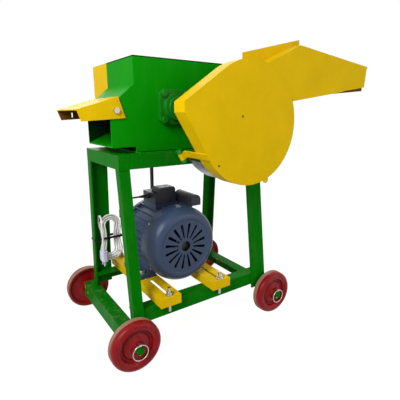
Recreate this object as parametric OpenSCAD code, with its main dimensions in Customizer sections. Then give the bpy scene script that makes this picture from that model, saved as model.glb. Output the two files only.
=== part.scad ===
// Chaff cutter on a four-wheeled angle-iron frame, driven by an electric motor through a belt.
// Millimetres. +X runs along the machine to the mouth of the chute, +Y to the belt side, +Z up.

/* [Frame] */
// Length of the top frame along the machine
frame_length = 496; // [480:1:520]
// Width of the top frame
frame_width = 260; // [254:1:270]
// Height of the top of the frame above the floor
rail_top = 576; // [566:1:606]
// Wall of the angle-iron top rails
rail_wall = 4; // [3:0.5:5]

/* [Wheels] */
// Outer radius of a wheel over its tread
wheel_radius = 73; // [66:1:80]
// Width of a wheel
wheel_width = 34; // [28:1:40]
// Radius of an axle bar
axle_radius = 10; // [8:0.5:11]

/* [Motor] */
// Outer radius of the fan cowl
cowl_radius = 118; // [114:1:119]
// Radius of the motor shaft
motor_shaft_radius = 14; // [11:0.5:16]

/* [Drive] */
// Radius of the belt pulley on the motor
motor_pulley_radius = 55; // [50:1:60]
// Radius of the belt pulley on the knife shaft
main_pulley_radius = 68; // [62:1:76]
// Radius of the knife shaft
main_shaft_radius = 12.5; // [10:0.5:15]
// Radius of the thrower shaft
thrower_shaft_radius = 14; // [11:0.5:16]
// Width of the two gears
gear_width = 18; // [14:1:20]

/* [Cover and chute] */
// Radius of the round cover over the thrower
lid_radius = 172; // [168:1:176]
// Depth of the cover and the chute
lid_depth = 49; // [45:1:58]
// Thickness of the sheet metal
sheet = 3; // [2:0.5:3.5]

/* [Cord] */
// Diameter of the mains cord
cord_diameter = 5.5; // [5:0.1:6]

/* [Fits] */
// Clearance between a shaft and the bore that it turns in
running_clearance = 0.05; // [0.02:0.01:0.09]

/* [Hidden] */
$fn = 48;
small = 20;
half_l = frame_length / 2;
half_w = frame_width / 2;
rail_size = 38;
leg_top = rail_top - rail_size;
leg_wall = 5;
leg_return = 26;
near_splay = 7;
far_splay = 3.5;

// Wheels and axles
axle_z = wheel_radius;
axle_to_beam_top = 25;
beam_top = axle_z + axle_to_beam_top;
beam_depth = 50;
beam_flange = 40;
beam_wall = 5;
beam_x = half_l + 27;
axle_x = beam_x - beam_wall - axle_radius - 1;
near_foot = (leg_top - beam_top) * tan(near_splay);
beam_half = half_w + near_foot + 3;
hub_y0 = beam_half + 1;
wheel_y0 = beam_half + 4;
wheel_y1 = wheel_y0 + wheel_width;
hub_y1 = wheel_y1 + 3;
pin_radius = 3;
key_ring = 22;
key_wire = 1.4;
pin_y = hub_y1 + pin_radius + 1;
axle_end = pin_y + 8;
tread = 3;
tread_width = wheel_width * 0.45;
rim_radius = wheel_radius - tread;
ring_half = 14;
ring_rise = wheel_width * 0.42;
tow_hole_radius = 7;
tow_hole_y = 108;
axle_y0 = beam_half - 62;
tow_hole_drop = 20;

// Side rails and the motor's slide rails
side_top = beam_top + 50;
side_depth = 38;
side_flange = 38;
side_wall = 4;
motor_rail_height = 28;
motor_rail_width = 66;
motor_rail_wall = 4;
rail_spread = 91;
rail_y0 = -(half_w + 70);
rail_y1 = half_w + 46;
rail_bolt_near = -(half_w + 57);
rail_bolt_far = half_w + 33;
bolt_radius = 5;
bolt_gap = 0.4;
stud_rise = 24;
stud_drop = 22;

// Motor
motor_x = -50;
motor_seat = side_top + motor_rail_height;
motor_axis_height = 112;
motor_z = motor_seat + motor_axis_height;
body_radius = 100;
fin_radius = 109;
stator_radius = 62;
core_radius = 61.5;
body_y0 = -68;
body_y1 = 82;
shield_y1 = 112;
cowl_y0 = -138;
cowl_wall = 2.5;
cowl_face = cowl_radius - 28;
shoulder = 42;
slots = 16;
slot_from = 29;
slot_to = cowl_face - 22;
box_seat = 114;
terminal_rise = 34;
foot_bolt_x = 103;
foot_bolt_y = [-38, 52];

// Chopping box, heights above the frame
box_x0 = -177;
box_x1 = 165;
box_y0 = -86;
box_y1 = 104;
box_h = 250;
mouth_x = -246;
mouth_z0 = 16;
mouth_z1 = 123;
roof_z = 181;
inner_y0 = box_y0 + sheet;
inner_y1 = box_y1 - sheet;
roof_drop = sheet / cos(atan2(roof_z - mouth_z1, box_x0 - mouth_x));
feed_run = 106;
feed_rise = 45;
feed_turn = atan2(feed_rise, feed_run);
feed_drop = sheet / cos(feed_turn);
foot_near = 26;
foot_far = 20;

// Shafts and gears
main_at = [-59, 123];
gear_module = 4;
main_teeth = 47;
thrower_teeth = 36;
gear_turn = -16.4;
gear_centres = gear_module * (main_teeth + thrower_teeth) / 2;
thrower_at = main_at + gear_centres * [cos(gear_turn), sin(gear_turn)];
backlash = 0.2;
bearing_depth = 34;
bearing_plate = 14;
bearing_size = 95;
bearing_bolt = 35;
bearing_hub = 36;
gear_y0 = box_y1 + bearing_depth + 4;
gear_y1 = gear_y0 + gear_width;
pulley_y0 = gear_y1 + 4;
pulley_y1 = pulley_y0 + 24;
belt_y = (pulley_y0 + pulley_y1) / 2;
belt_width = 13;
belt_depth = 8;
groove_depth = 12;
groove_half = 7.6;
guard_y1 = pulley_y1 + 40;
guard_x1 = 200;
knife_radius = 92;
knife_gap = 1.3;
knife_thick = 5;
drum_y0 = -72;
drum_y1 = 90;
bar_height = 9;
bar_length = 24;
feed_from = [mouth_x, mouth_z0 + feed_drop];
feed_dir = [cos(feed_turn), sin(feed_turn)];
feed_up = [-sin(feed_turn), cos(feed_turn)];
bar_reach = (main_at - feed_from) * feed_dir
    - sqrt(pow(knife_radius + knife_gap, 2) - pow((main_at - feed_from) * feed_up - bar_height, 2));

// Hood over the feed mouth
hood_at = [-230, 113];
hood_wall = 2.5;
hood_gap = 1;
hood_bolt_radius = 4;
hood_end = -332;

// Cover, chute and thrower
front = -half_w;
lid_y1 = front - 71;
lid_y0 = lid_y1 - lid_depth;
tip_top = [-122, 134];
tip_low = [-122, 108];
function tangent_angle(p, side) =
    let (v = p - thrower_at)
    atan2(v[1], v[0]) + side * acos(lid_radius / norm(v));
top_tangent = tangent_angle(tip_top, -1);
low_tangent = tangent_angle(tip_low, 1);
function on_lid(r, a) = thrower_at + r * [cos(a), sin(a)];
// Height, at a distance x along the machine, of the line that touches a circle about the thrower shaft
function touch_z(r, a, x) = on_lid(r, a)[1] - (x - on_lid(r, a)[0]) * cos(a) / sin(a);
throat_from = 22;
throat_to = 72.5;
chute_top = on_lid(lid_radius + 1, 72.3);
chute_low = on_lid(lid_radius + 3, 21.7);
chute_peak = [280, 298];
chute_far_top = [633, 263];
chute_far_low = [628, 193];
chute_end = 690;
chute_floor_x = 507;
paddle_radius = lid_radius - 22;
trough_radius = lid_radius - 4;
// The trough starts a little above the lower edge of the front rail
trough_from = 180 + asin((thrower_at[1] + rail_size * 0.72) / trough_radius);
casing_to = 426;
casing_top = thrower_at[1] + sqrt(pow(trough_radius, 2) - pow(box_x1 - thrower_at[0], 2)) - 6;
thrower_y0 = lid_y0 + 25;
thrower_y1 = front - 10;

// Hinge of the cover
flank_turn = 270 - low_tangent;
flank_at = on_lid(lid_radius, low_tangent) - 12 * [cos(flank_turn), -sin(flank_turn)];
strap_half = 10;
strap_thick = 4;
eye_radius = 9;
eye_drop = 14;
hinge_radius = 5;
hinge_y = front - 11;

// Cord
cord_radius = cord_diameter / 2;
hank_x = -half_l + 58;
hank_z = side_top + 122;
hank_y1 = half_w + 2.8;
hank_y0 = hank_y1 - cord_diameter - 0.8;
hank_run = 90;
hank_inner = 3 * cord_diameter;
hank_step = cord_diameter + 2.5;
hank_loops = 3;
waist = 0.8;
joint_radius = 5;
joint_length = 28;
joint_rise = 18;
lead_radius = 3;
gland_x = motor_x - 57;
gland_y = 10;
gland_z = motor_z + 137;
plug_at = [-half_l + 17.5, half_w - 41.5, side_top + 102];

mid_x = (hood_end + chute_end) / 2;
mid_y = (lid_y0 + axle_end) / 2;

// Helpers

// Puts the middle of the whole machine over the origin
module place() translate([-mid_x, -mid_y, 0]) children();

// Lifts what stands on the top frame
module deck() translate([-mid_x, -mid_y, rail_top]) children();

// A bar along Y
module rod_y(r, y0, y1) translate([0, y1, 0]) rotate([90, 0, 0]) cylinder(r = r, h = y1 - y0);

// A flat outline in X and Z drawn out along Y
module along_y(y0, y1) translate([0, y1, 0]) rotate([90, 0, 0]) linear_extrude(height = y1 - y0) children();

// A flat outline in Y and Z drawn out along X
module along_x(x0, x1) translate([x0, 0, 0]) rotate([90, 0, 90]) linear_extrude(height = x1 - x0) children();

// A profile of radius and Y turned about the Y axis
module turned_y() rotate([-90, 0, 0]) rotate_extrude() children();

// A block between two corners
module block(a, b) translate(a) cube(b - a);

// A hexagon head or nut along Z
module hexagon(r, h) cylinder(r = r, h = h, $fn = 6);

// A tube along a list of points; ref is a direction that the route never takes
function unit(v) = v / norm(v);
function route_dir(p, i) = unit(p[min(i + 1, len(p) - 1)] - p[max(i - 1, 0)]);
function route_ring(c, t, r, n, ref) =
    let (a = unit(cross(ref, t)), b = cross(t, a))
    [for (k = [0 : n - 1]) c + r * (cos(360 * k / n) * a + sin(360 * k / n) * b)];
module tube(p, r, n, ref) {
    last = len(p) - 1;
    points = [for (i = [0 : last]) each route_ring(p[i], route_dir(p, i), r, n, ref)];
    sides = [for (i = [0 : last - 1]) for (k = [0 : n - 1]) each [
        [i * n + k, (i + 1) * n + k, (i + 1) * n + (k + 1) % n],
        [i * n + k, (i + 1) * n + (k + 1) % n, i * n + (k + 1) % n]]];
    caps = [[for (k = [0 : n - 1]) k], [for (k = [0 : n - 1]) last * n + n - 1 - k]];
    polyhedron(points = points, faces = concat(sides, caps), convexity = 10);
}

// Frame

// One leg of unequal angle; sx and sy give its corner, width its flange along X
module leg(width, splay, sx, sy) {
    intersection() {
        translate([sx * half_l, sy * half_w, leg_top]) rotate([sy * splay, 0, 0])
            translate([0, 0, -leg_top - 40]) linear_extrude(height = leg_top + 80)
                polygon([[0, 0], [-sx * width, 0], [-sx * width, -sy * leg_wall],
                    [-sx * leg_wall, -sy * leg_wall], [-sx * leg_wall, -sy * leg_return],
                    [0, -sy * leg_return]]);
        block([-half_l - 20, -half_w - 120, beam_top], [half_l + 20, half_w + 120, leg_top]);
    }
}

module legs_near() color("#008700") place() {
    leg(30, near_splay, -1, -1);
    leg(62, near_splay, 1, -1);
}

module legs_far() color("#008700") place() {
    leg(62, far_splay, -1, 1);
    leg(40, far_splay, 1, 1);
}

module top_rails_long() color("#008700") place()
    for (s = [-1, 1])
        along_x(-half_l, half_l)
            polygon([[s * half_w, leg_top], [s * half_w, rail_top], [s * (half_w - rail_size), rail_top],
                [s * (half_w - rail_size), rail_top - rail_wall],
                [s * (half_w - rail_wall), rail_top - rail_wall], [s * (half_w - rail_wall), leg_top]]);

module top_rails_short() color("#008700") place()
    for (s = [-1, 1])
        union() {
            along_y(-(half_w - rail_size), half_w - rail_size)
                polygon([[s * half_l, leg_top], [s * half_l, rail_top], [s * (half_l - rail_size), rail_top],
                    [s * (half_l - rail_size), rail_top - rail_wall],
                    [s * (half_l - rail_wall), rail_top - rail_wall], [s * (half_l - rail_wall), leg_top]]);
            along_y(-(half_w - rail_wall), half_w - rail_wall)
                polygon([[s * half_l, leg_top], [s * half_l, rail_top - rail_wall],
                    [s * (half_l - rail_wall), rail_top - rail_wall], [s * (half_l - rail_wall), leg_top]]);
        }

// Distance from the middle plane to the inner face of a leg at height z
function leg_inner(splay, z) = half_w + (leg_top - z) * tan(splay) - leg_wall / cos(splay);

module side_rail(splay, s) {
    bottom = side_top - side_depth;
    along_x(-(half_l - leg_wall), half_l - leg_wall)
        polygon([[s * leg_inner(splay, side_top), side_top],
            [s * leg_inner(splay, bottom), bottom],
            [s * (leg_inner(splay, bottom) - side_wall), bottom],
            [s * (leg_inner(splay, side_top - side_wall) - side_wall), side_top - side_wall],
            [s * (leg_inner(splay, side_top) - side_flange), side_top - side_wall],
            [s * (leg_inner(splay, side_top) - side_flange), side_top]]);
}

module side_rails() color("#008700") place() {
    side_rail(near_splay, -1);
    side_rail(far_splay, 1);
}

// Angle beams under the feet; the left one has a hole for a tow rope
module axle_beams() color("#008700") place()
    for (s = [-1, 1])
        difference() {
            along_y(-beam_half, beam_half)
                polygon([[s * beam_x, beam_top - beam_depth], [s * beam_x, beam_top],
                    [s * (beam_x - beam_flange), beam_top], [s * (beam_x - beam_flange), beam_top - beam_wall],
                    [s * (beam_x - beam_wall), beam_top - beam_wall],
                    [s * (beam_x - beam_wall), beam_top - beam_depth]]);
            if (s < 0)
                translate([-beam_x - 5, tow_hole_y, beam_top - tow_hole_drop]) rotate([0, 90, 0])
                    cylinder(r = tow_hole_radius, h = 15);
        }

// Stub axles with the lugs that hold them in the corner of the beams
module axles() color("#008700") place()
    for (s = [-1, 1])
        difference() {
            union() {
                for (t = [-1, 1])
                    translate([s * axle_x, 0, axle_z]) mirror([0, t < 0 ? 1 : 0, 0]) rod_y(axle_radius, axle_y0, axle_end);
                for (t = [-1, 1])
                    block([min(s * axle_x, s * (beam_x - beam_wall)), t * (beam_half - 45) - 15, axle_z - 6],
                        [max(s * axle_x, s * (beam_x - beam_wall)), t * (beam_half - 45) + 15,
                            beam_top - beam_wall]);
            }
            for (t = [-1, 1])
                translate([s * axle_x, t * pin_y, axle_z - 20]) cylinder(r = pin_radius, h = 40, $fn = small);
        }

// A wheel on its hub, with a rounded ring round a dished web; the tread is a separate band at its inner edge
function ring_face(a) = [wheel_radius - ring_half + (ring_half - 0.4) * cos(a),
    wheel_y1 - ring_rise + ring_rise * sin(a)];
module wheel(sx, sy) {
    translate([sx * axle_x, 0, axle_z]) mirror([0, sy < 0 ? 1 : 0, 0]) turned_y()
        polygon(concat([[axle_radius + running_clearance, hub_y0], [22, hub_y0], [26, wheel_y0 + 6],
            [rim_radius - 12, wheel_y0 + 8], [rim_radius - 6, wheel_y0], [rim_radius, wheel_y0],
            [rim_radius, wheel_y0 + tread_width], [wheel_radius - 0.4, wheel_y0 + tread_width]],
            [for (a = [0 : 15 : 150]) ring_face(a)],
            [ring_face(165) - [1, 3], ring_face(165) - [5, 3.5], ring_face(165) - [9, 0], ring_face(165) - [13, -1.5],
            [20, wheel_y1 - 5], [18, hub_y1], [axle_radius + running_clearance, hub_y1]]));
}

module tyre(sx, sy) {
    translate([sx * axle_x, 0, axle_z]) mirror([0, sy < 0 ? 1 : 0, 0]) turned_y()
        polygon([[rim_radius, wheel_y0], [wheel_radius - 1, wheel_y0], [wheel_radius, wheel_y0 + 1.5],
            [wheel_radius, wheel_y0 + tread_width], [rim_radius, wheel_y0 + tread_width]]);
}

module wheel_near_left() color("#a5182a") place() wheel(-1, -1);
module wheel_near_right() color("#a5182a") place() wheel(1, -1);
module wheel_far_left() color("#a5182a") place() wheel(-1, 1);
module wheel_far_right() color("#a5182a") place() wheel(1, 1);
module tyre_near_left() color("#c89678") place() tyre(-1, -1);
module tyre_near_right() color("#c89678") place() tyre(1, -1);
module tyre_far_left() color("#c89678") place() tyre(-1, 1);
module tyre_far_right() color("#c89678") place() tyre(1, 1);

// Pins with a ring, one through each axle end
module ring_pins() color("#969189") place()
    for (sx = [-1, 1]) for (sy = [-1, 1])
        translate([sx * axle_x, sy * pin_y, axle_z]) mirror([0, sy < 0 ? 1 : 0, 0]) union() {
            translate([0, 0, -15]) cylinder(r = pin_radius, h = 33, $fn = small);
            block([-pin_radius - 0.6, 0.6 - pin_radius, 14], [pin_radius + 0.6, 7, 20]);
            translate([0, 6, 17 - key_ring]) rotate([90, 0, 0]) rotate_extrude() translate([key_ring, 0])
                circle(r = key_wire, $fn = small);
        }

// Motor

module motor_rails() color("#d6b208") place()
    for (s = [-1, 1])
        difference() {
            translate([motor_x + s * rail_spread - motor_rail_width / 2, 0, side_top])
                block([0, rail_y0, 0], [motor_rail_width, rail_y1, motor_rail_height]);
            // Hollow from below, closed at both ends
            translate([motor_x + s * rail_spread - motor_rail_width / 2, 0, side_top])
                block([motor_rail_wall, rail_y0 + motor_rail_wall, -1],
                    [motor_rail_width - motor_rail_wall, rail_y1 - motor_rail_wall, motor_rail_height - motor_rail_wall]);
            // Slots that let the motor slide to tighten the belt
            for (y = foot_bolt_y)
                translate([motor_x + s * foot_bolt_x, y, motor_seat - 10]) linear_extrude(height = 20) union() {
                    square([2 * (bolt_radius + bolt_gap), 36], center = true);
                    for (t = [-18, 18]) translate([0, t]) circle(r = bolt_radius + bolt_gap, $fn = small);
                }
            // Long slot from the near bolt to the motor's foot
            translate([motor_x + s * rail_spread, 0, motor_seat - 10]) linear_extrude(height = 20) union() {
                translate([-bolt_radius - bolt_gap, rail_bolt_near])
                    square([2 * (bolt_radius + bolt_gap), foot_bolt_y[0] - 37 - rail_bolt_near]);
                for (y = [rail_bolt_near, foot_bolt_y[0] - 37])
                    translate([0, y]) circle(r = bolt_radius + bolt_gap, $fn = small);
            }
            translate([motor_x + s * rail_spread, rail_bolt_far, motor_seat - 10])
                cylinder(r = bolt_radius + bolt_gap, h = 20, $fn = small);
        }

// Studs at the ends of the slide rails, each with a nut above and one under the rail's top
module rail_bolts() color("#969189") place()
    for (s = [-1, 1]) for (y = [rail_bolt_near, rail_bolt_far])
        translate([motor_x + s * rail_spread, y, motor_seat]) union() {
            translate([0, 0, -motor_rail_height - stud_drop])
                cylinder(r = bolt_radius, h = motor_rail_height + stud_drop + stud_rise, $fn = small);
            cylinder(r = 11, h = 2.5, $fn = small);
            translate([0, 0, 2]) hexagon(9, 8);
            translate([0, 0, -motor_rail_wall - 7]) hexagon(9, 7);
        }

module motor_body() color("#3a4560") place() translate([motor_x, 0, motor_z])
    difference() {
        union() {
            rod_y(body_radius, body_y0, body_y1);
            rod_y(fin_radius, body_y0, body_y0 + 8);
            rod_y(fin_radius, body_y1 - 8, body_y1);
            for (a = [-32 : 12.2 : 212.1])
                rotate([0, -a, 0]) translate([body_radius - 4, body_y0 + 4, -1.75])
                    cube([fin_radius - body_radius + 3.5, body_y1 - body_y0 - 8, 3.5]);
            for (m = [0, 1]) mirror([m, 0, 0]) {
                block([72, -58, -motor_axis_height], [90, 72, -20]);
                block([66, -58, -motor_axis_height], [118, 72, 14 - motor_axis_height]);
            }
            // Seats of the terminal box and of the capacitor cover
            block([-45, -30, 80], [36, 55, box_seat]);
            block([40, -60, 55], [74, -8, box_seat]);
        }
        rod_y(stator_radius, body_y0 + 8, body_y1 + 1);
        rod_y(motor_shaft_radius + running_clearance, body_y0 - 1, body_y0 + 9);
        for (s = [-1, 1]) for (y = foot_bolt_y)
            translate([s * foot_bolt_x, y, -motor_axis_height - 1])
                cylinder(r = bolt_radius + bolt_gap, h = 20, $fn = small);
    }

module drive_end_shield() color("#3a4560") place() translate([motor_x, 0, motor_z]) turned_y()
    polygon([[motor_shaft_radius + running_clearance, body_y1], [fin_radius, body_y1],
        [fin_radius, body_y1 + 8], [82, body_y1 + 20], [44, body_y1 + 24], [40, shield_y1],
        [motor_shaft_radius + running_clearance, shield_y1]]);

// Cowl with a recessed grille of drop-shaped slots
// Points of a quarter round from the skirt to the face, at a distance inside the outer skin
function cowl_shoulder(inside) = [for (a = [0 : 10 : 90])
    [cowl_face + (cowl_radius - cowl_face - inside) * cos(a),
        cowl_y0 + inside + (shoulder - inside) * (1 - sin(a))]];
module fan_cowl() color("#3a4560") place() translate([motor_x, 0, motor_z])
    difference() {
        turned_y() polygon(concat([[fin_radius - 5, body_y0 - 3], [fin_radius - 5, body_y0], [cowl_radius, body_y0]],
            cowl_shoulder(0),
            [[cowl_face - 4, cowl_y0], [cowl_face - 6, cowl_y0 + 2], [16, cowl_y0 + 2], [16, cowl_y0 + 2 + cowl_wall],
            [cowl_face - 7, cowl_y0 + 2 + cowl_wall], [cowl_face - 5, cowl_y0 + cowl_wall]],
            [for (i = [9 : -1 : 0]) cowl_shoulder(cowl_wall)[i]],
            [[cowl_radius - cowl_wall, body_y0 - 3]]));
        for (i = [0 : slots - 1])
            rotate([0, (i + 0.5) * 360 / slots, 0]) along_y(cowl_y0 - 1, cowl_y0 + 10) union() {
                translate([slot_from, 0]) circle(r = 2.5, $fn = 16);
                translate([slot_to, 0]) circle(r = 4.6, $fn = 16);
                polygon([[slot_from, -2.5], [slot_to, -4.6], [slot_to, 4.6], [slot_from, 2.5]]);
            }
    }

module cooling_fan() color("#23262f") place() translate([motor_x, 0, motor_z])
    difference() {
        union() {
            rod_y(24, -112, -80);
            rod_y(90, -84, -80);
            for (a = [0 : 45 : 315])
                rotate([0, a, 0]) block([20, -118, -1.5], [90, -82, 1.5]);
        }
        rod_y(motor_shaft_radius, -130, -70);
    }

// Motor shaft with its rotor core
module motor_shaft() color("#8c8c86") place() translate([motor_x, 0, motor_z]) union() {
    rod_y(motor_shaft_radius, -116, pulley_y1 + 2);
    rod_y(core_radius, -52, 70);
}

module terminal_box() color("#23262f") place() translate([motor_x, 0, motor_z]) union() {
    block([-45, -30, box_seat], [30, 55, box_seat + terminal_rise]);
    // Gland that the lead leaves by
    translate([gland_x - motor_x, gland_y, gland_z - motor_z]) rotate([0, 90, 0])
        cylinder(r = 9, h = motor_x - 45 - gland_x + 1, $fn = 24);
}

module terminal_lid() color("#23262f") place() translate([motor_x, 0, motor_z + box_seat + terminal_rise])
    along_y(-30, 14) polygon([[-34, 0], [28, 0], [28, 12], [22, 18], [-28, 18], [-34, 12]]);

module capacitor_cover() color("#23262f") place() translate([motor_x + 57, 0, motor_z + box_seat])
    along_y(-107, -5) union() {
        translate([0, 17]) circle(r = 17);
        translate([-17, 0]) square([34, 17]);
    }

// A pulley with one groove; the profile is radius and Y
module pulley(r, bore) turned_y()
    polygon([[bore, pulley_y0], [r, pulley_y0], [r, belt_y - groove_half], [r - groove_depth, belt_y - groove_half + 0.7],
        [r - groove_depth, belt_y + groove_half - 0.7], [r, belt_y + groove_half], [r, pulley_y1], [bore, pulley_y1]]);

module motor_pulley() color("#23262f") place() translate([motor_x, 0, motor_z])
    pulley(motor_pulley_radius, motor_shaft_radius);

module motor_bolts() color("#969189") place()
    for (s = [-1, 1]) for (y = foot_bolt_y)
        translate([motor_x + s * foot_bolt_x, y, motor_seat]) union() {
            translate([0, 0, -motor_rail_wall - 12]) cylinder(r = bolt_radius, h = motor_rail_wall + 30, $fn = small);
            translate([0, 0, -motor_rail_wall - 8]) hexagon(9, 8);
            translate([0, 0, 14]) cylinder(r = 9.5, h = 2, $fn = small);
            translate([0, 0, 15]) hexagon(8.5, 8);
        }

// Belt outline at a distance from the bottom of the grooves
module belt_outline(up) hull() {
    translate([motor_x, motor_z]) circle(r = motor_pulley_radius - groove_depth + up, $fn = 72);
    translate([main_at[0], rail_top + main_at[1]]) circle(r = main_pulley_radius - groove_depth + up, $fn = 72);
}

module drive_belt() color("#17181a") place() along_y(belt_y - belt_width / 2, belt_y + belt_width / 2)
    difference() {
        belt_outline(1 + belt_depth);
        belt_outline(1);
    }

// Knife shaft and thrower shaft

module on_main() translate([main_at[0], 0, main_at[1]]) children();
module on_thrower() translate([thrower_at[0], 0, thrower_at[1]]) children();

module main_shaft() color("#8c8c86") deck() on_main()
    rod_y(main_shaft_radius, box_y0 - bearing_depth - 8, pulley_y1 + 8);

module main_pulley() color("#23262f") deck() on_main() pulley(main_pulley_radius, main_shaft_radius);

// Angle that an involute has turned through at radius r
function involute_turn(r, base) =
    let (a = sqrt(max(0, r * r / (base * base) - 1)))
    a * 180 / PI - atan(a);
function half_tooth(r, pitch, teeth) =
    90 / teeth - backlash / 2 / pitch * 180 / PI
    + involute_turn(pitch, pitch * cos(20)) - involute_turn(max(r, pitch * cos(20)), pitch * cos(20));
module gear_outline(teeth) {
    pitch = gear_module * teeth / 2;
    root = pitch - 1.2 * gear_module;
    tip = pitch + 0.9 * gear_module;
    radii = [for (i = [0 : 4]) root + (tip - root) * i / 4];
    polygon([for (k = [0 : teeth - 1]) each concat(
        [for (i = [0 : 4]) let (a = 360 * k / teeth - half_tooth(radii[i], pitch, teeth)) radii[i] * [cos(a), sin(a)]],
        [for (i = [4 : -1 : 0]) let (a = 360 * k / teeth + half_tooth(radii[i], pitch, teeth))
            radii[i] * [cos(a), sin(a)]])]);
}

module main_gear() color("#8c8c86") deck() on_main()
    difference() {
        along_y(gear_y0, gear_y1) rotate(gear_turn) gear_outline(main_teeth);
        rod_y(main_shaft_radius, gear_y0 - 1, gear_y1 + 1);
    }

module thrower_gear() color("#8c8c86") deck() on_thrower()
    difference() {
        along_y(gear_y0, gear_y1) rotate(gear_turn + 180 + 180 / thrower_teeth) gear_outline(thrower_teeth);
        rod_y(thrower_shaft_radius, gear_y0 - 1, gear_y1 + 1);
    }

// Drum with four arms that carry the knives
module knife_drum() color("#5c5f60") deck() on_main()
    difference() {
        union() {
            rod_y(28, drum_y0, drum_y1);
            for (a = [45 : 90 : 315])
                rotate([0, a, 0]) block([20, drum_y0, 0], [knife_radius - 10, drum_y1, 8]);
        }
        rod_y(main_shaft_radius, drum_y0 - 1, drum_y1 + 1);
    }

module knives() color("#b8bcbd") deck() on_main()
    for (a = [45 : 90 : 315])
        rotate([0, a, 0]) along_y(drum_y0, drum_y1)
            polygon([[knife_radius - 38, 0], [knife_radius - 38, -knife_thick], [knife_radius - 10, -knife_thick],
                [knife_radius - 0.5, -1], [knife_radius - 0.5, 0]]);

// Fixed counter-edge at the end of the feed floor
module shear_bar() color("#5c5f60") deck() along_y(inner_y0, inner_y1)
    translate(feed_from) rotate(feed_turn) translate([bar_reach - bar_length, 0]) square([bar_length, bar_height]);

module thrower_shaft() color("#8c8c86") deck() on_thrower()
    rod_y(thrower_shaft_radius, thrower_y0 - 7, gear_y1 + 10);

// Hub with four paddles that throw the chaff up the chute
module thrower() color("#5c5f60") deck() on_thrower()
    difference() {
        union() {
            rod_y(30, thrower_y0, thrower_y1);
            for (a = [20 : 90 : 290])
                rotate([0, a, 0]) block([24, thrower_y0, -3], [paddle_radius, thrower_y1, 3]);
        }
        rod_y(thrower_shaft_radius, thrower_y0 - 1, thrower_y1 + 1);
    }

// A square flange bearing against the plane y = 0, standing out to -Y
module flange_bearing(bore) difference() {
    union() {
        along_y(-bearing_plate, 0) intersection() {
            square(bearing_size, center = true);
            circle(r = bearing_size * 0.62);
        }
        rod_y(bearing_hub, -bearing_depth + 6, 0);
        rod_y(bearing_hub - 9, -bearing_depth, 0);
    }
    rod_y(bore, -bearing_depth - 1, 1);
    for (i = [-1, 1]) for (j = [-1, 1])
        translate([i * bearing_bolt, 0, j * bearing_bolt]) rod_y(bolt_radius + bolt_gap, -bearing_plate - 1, 1, $fn = small);
}

module flange_bearings() color("#008700") deck() {
    for (far = [0, 1]) translate([0, far ? box_y1 : box_y0, 0]) {
        on_main() mirror([0, far, 0]) flange_bearing(main_shaft_radius + running_clearance);
        on_thrower() mirror([0, far, 0]) flange_bearing(thrower_shaft_radius + running_clearance);
    }
}

// Bolts through the flanges and the wall, with nuts inside
module flange_bolt() union() {
    rod_y(bolt_radius, -bearing_plate - 3, sheet + 8, $fn = small);
    rod_y(9, -bearing_plate - 7, -bearing_plate, $fn = 6);
    rod_y(8.5, sheet, sheet + 6, $fn = 6);
}

module flange_bolts() color("#008700") deck()
    for (far = [0, 1]) for (p = [main_at, thrower_at]) for (i = [-1, 1]) for (j = [-1, 1])
        translate([p[0] + i * bearing_bolt, far ? box_y1 : box_y0, p[1] + j * bearing_bolt])
            mirror([0, far, 0]) flange_bolt();

// Chopping box and feed mouth

module wall_outline() polygon([[mouth_x, mouth_z0], [mouth_x, mouth_z1], [box_x0, roof_z], [box_x0, box_h],
    [box_x1, box_h], [box_x1, 0], [box_x0, 0], [box_x0, mouth_z0]]);

module wall_holes() {
    translate(main_at) circle(r = main_shaft_radius + 4);
    translate(thrower_at) circle(r = thrower_shaft_radius + 4);
    translate(hood_at) circle(r = hood_bolt_radius, $fn = small);
    for (p = [main_at, thrower_at]) for (i = [-1, 1]) for (j = [-1, 1])
        translate(p + bearing_bolt * [i, j]) circle(r = bolt_radius + bolt_gap, $fn = small);
}

// Front wall with the foot on the rail and the window that passes the chaff to the thrower
module box_front() color("#008700") deck() union() {
    along_y(box_y0, inner_y0) difference() {
        wall_outline();
        wall_holes();
        translate([-5, 24]) square([50, 120]);
    }
    block([box_x0, box_y0 - foot_near, 0], [box_x1, box_y0 + sheet, sheet]);
}

module box_rear() color("#008700") deck() union() {
    along_y(inner_y1, box_y1) difference() {
        wall_outline();
        wall_holes();
    }
    block([box_x0, inner_y1, 0], [box_x1, box_y1 + foot_far, sheet]);
}

module box_right() color("#008700") deck()
    block([box_x1 - sheet, inner_y0, 0], [box_x1, inner_y1, box_h]);

module box_top() color("#008700") deck()
    block([box_x0, box_y0, box_h], [box_x1, box_y1, box_h + sheet]);

// Sloped feed floor and flat floor of the box
module floor_plates() color("#008700") deck() {
    along_y(inner_y0, inner_y1)
        polygon([[mouth_x, mouth_z0], [mouth_x + feed_run, mouth_z0 + feed_rise],
            [mouth_x + feed_run, mouth_z0 + feed_rise + feed_drop], [mouth_x, mouth_z0 + feed_drop]]);
    block([box_x0, inner_y0, 0], [box_x1 - sheet, inner_y1, sheet]);
}

// Left wall above the mouth and the sloped roof of the mouth
module mouth_roof() color("#008700") deck() along_y(inner_y0, inner_y1)
    polygon([[box_x0, box_h], [box_x0 + sheet, box_h],
        [box_x0 + sheet, mouth_z1 - roof_drop
            + (box_x0 + sheet - mouth_x) * (roof_z - mouth_z1) / (box_x0 - mouth_x)],
        [mouth_x, mouth_z1 - roof_drop], [mouth_x, mouth_z1], [box_x0, roof_z]]);

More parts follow.
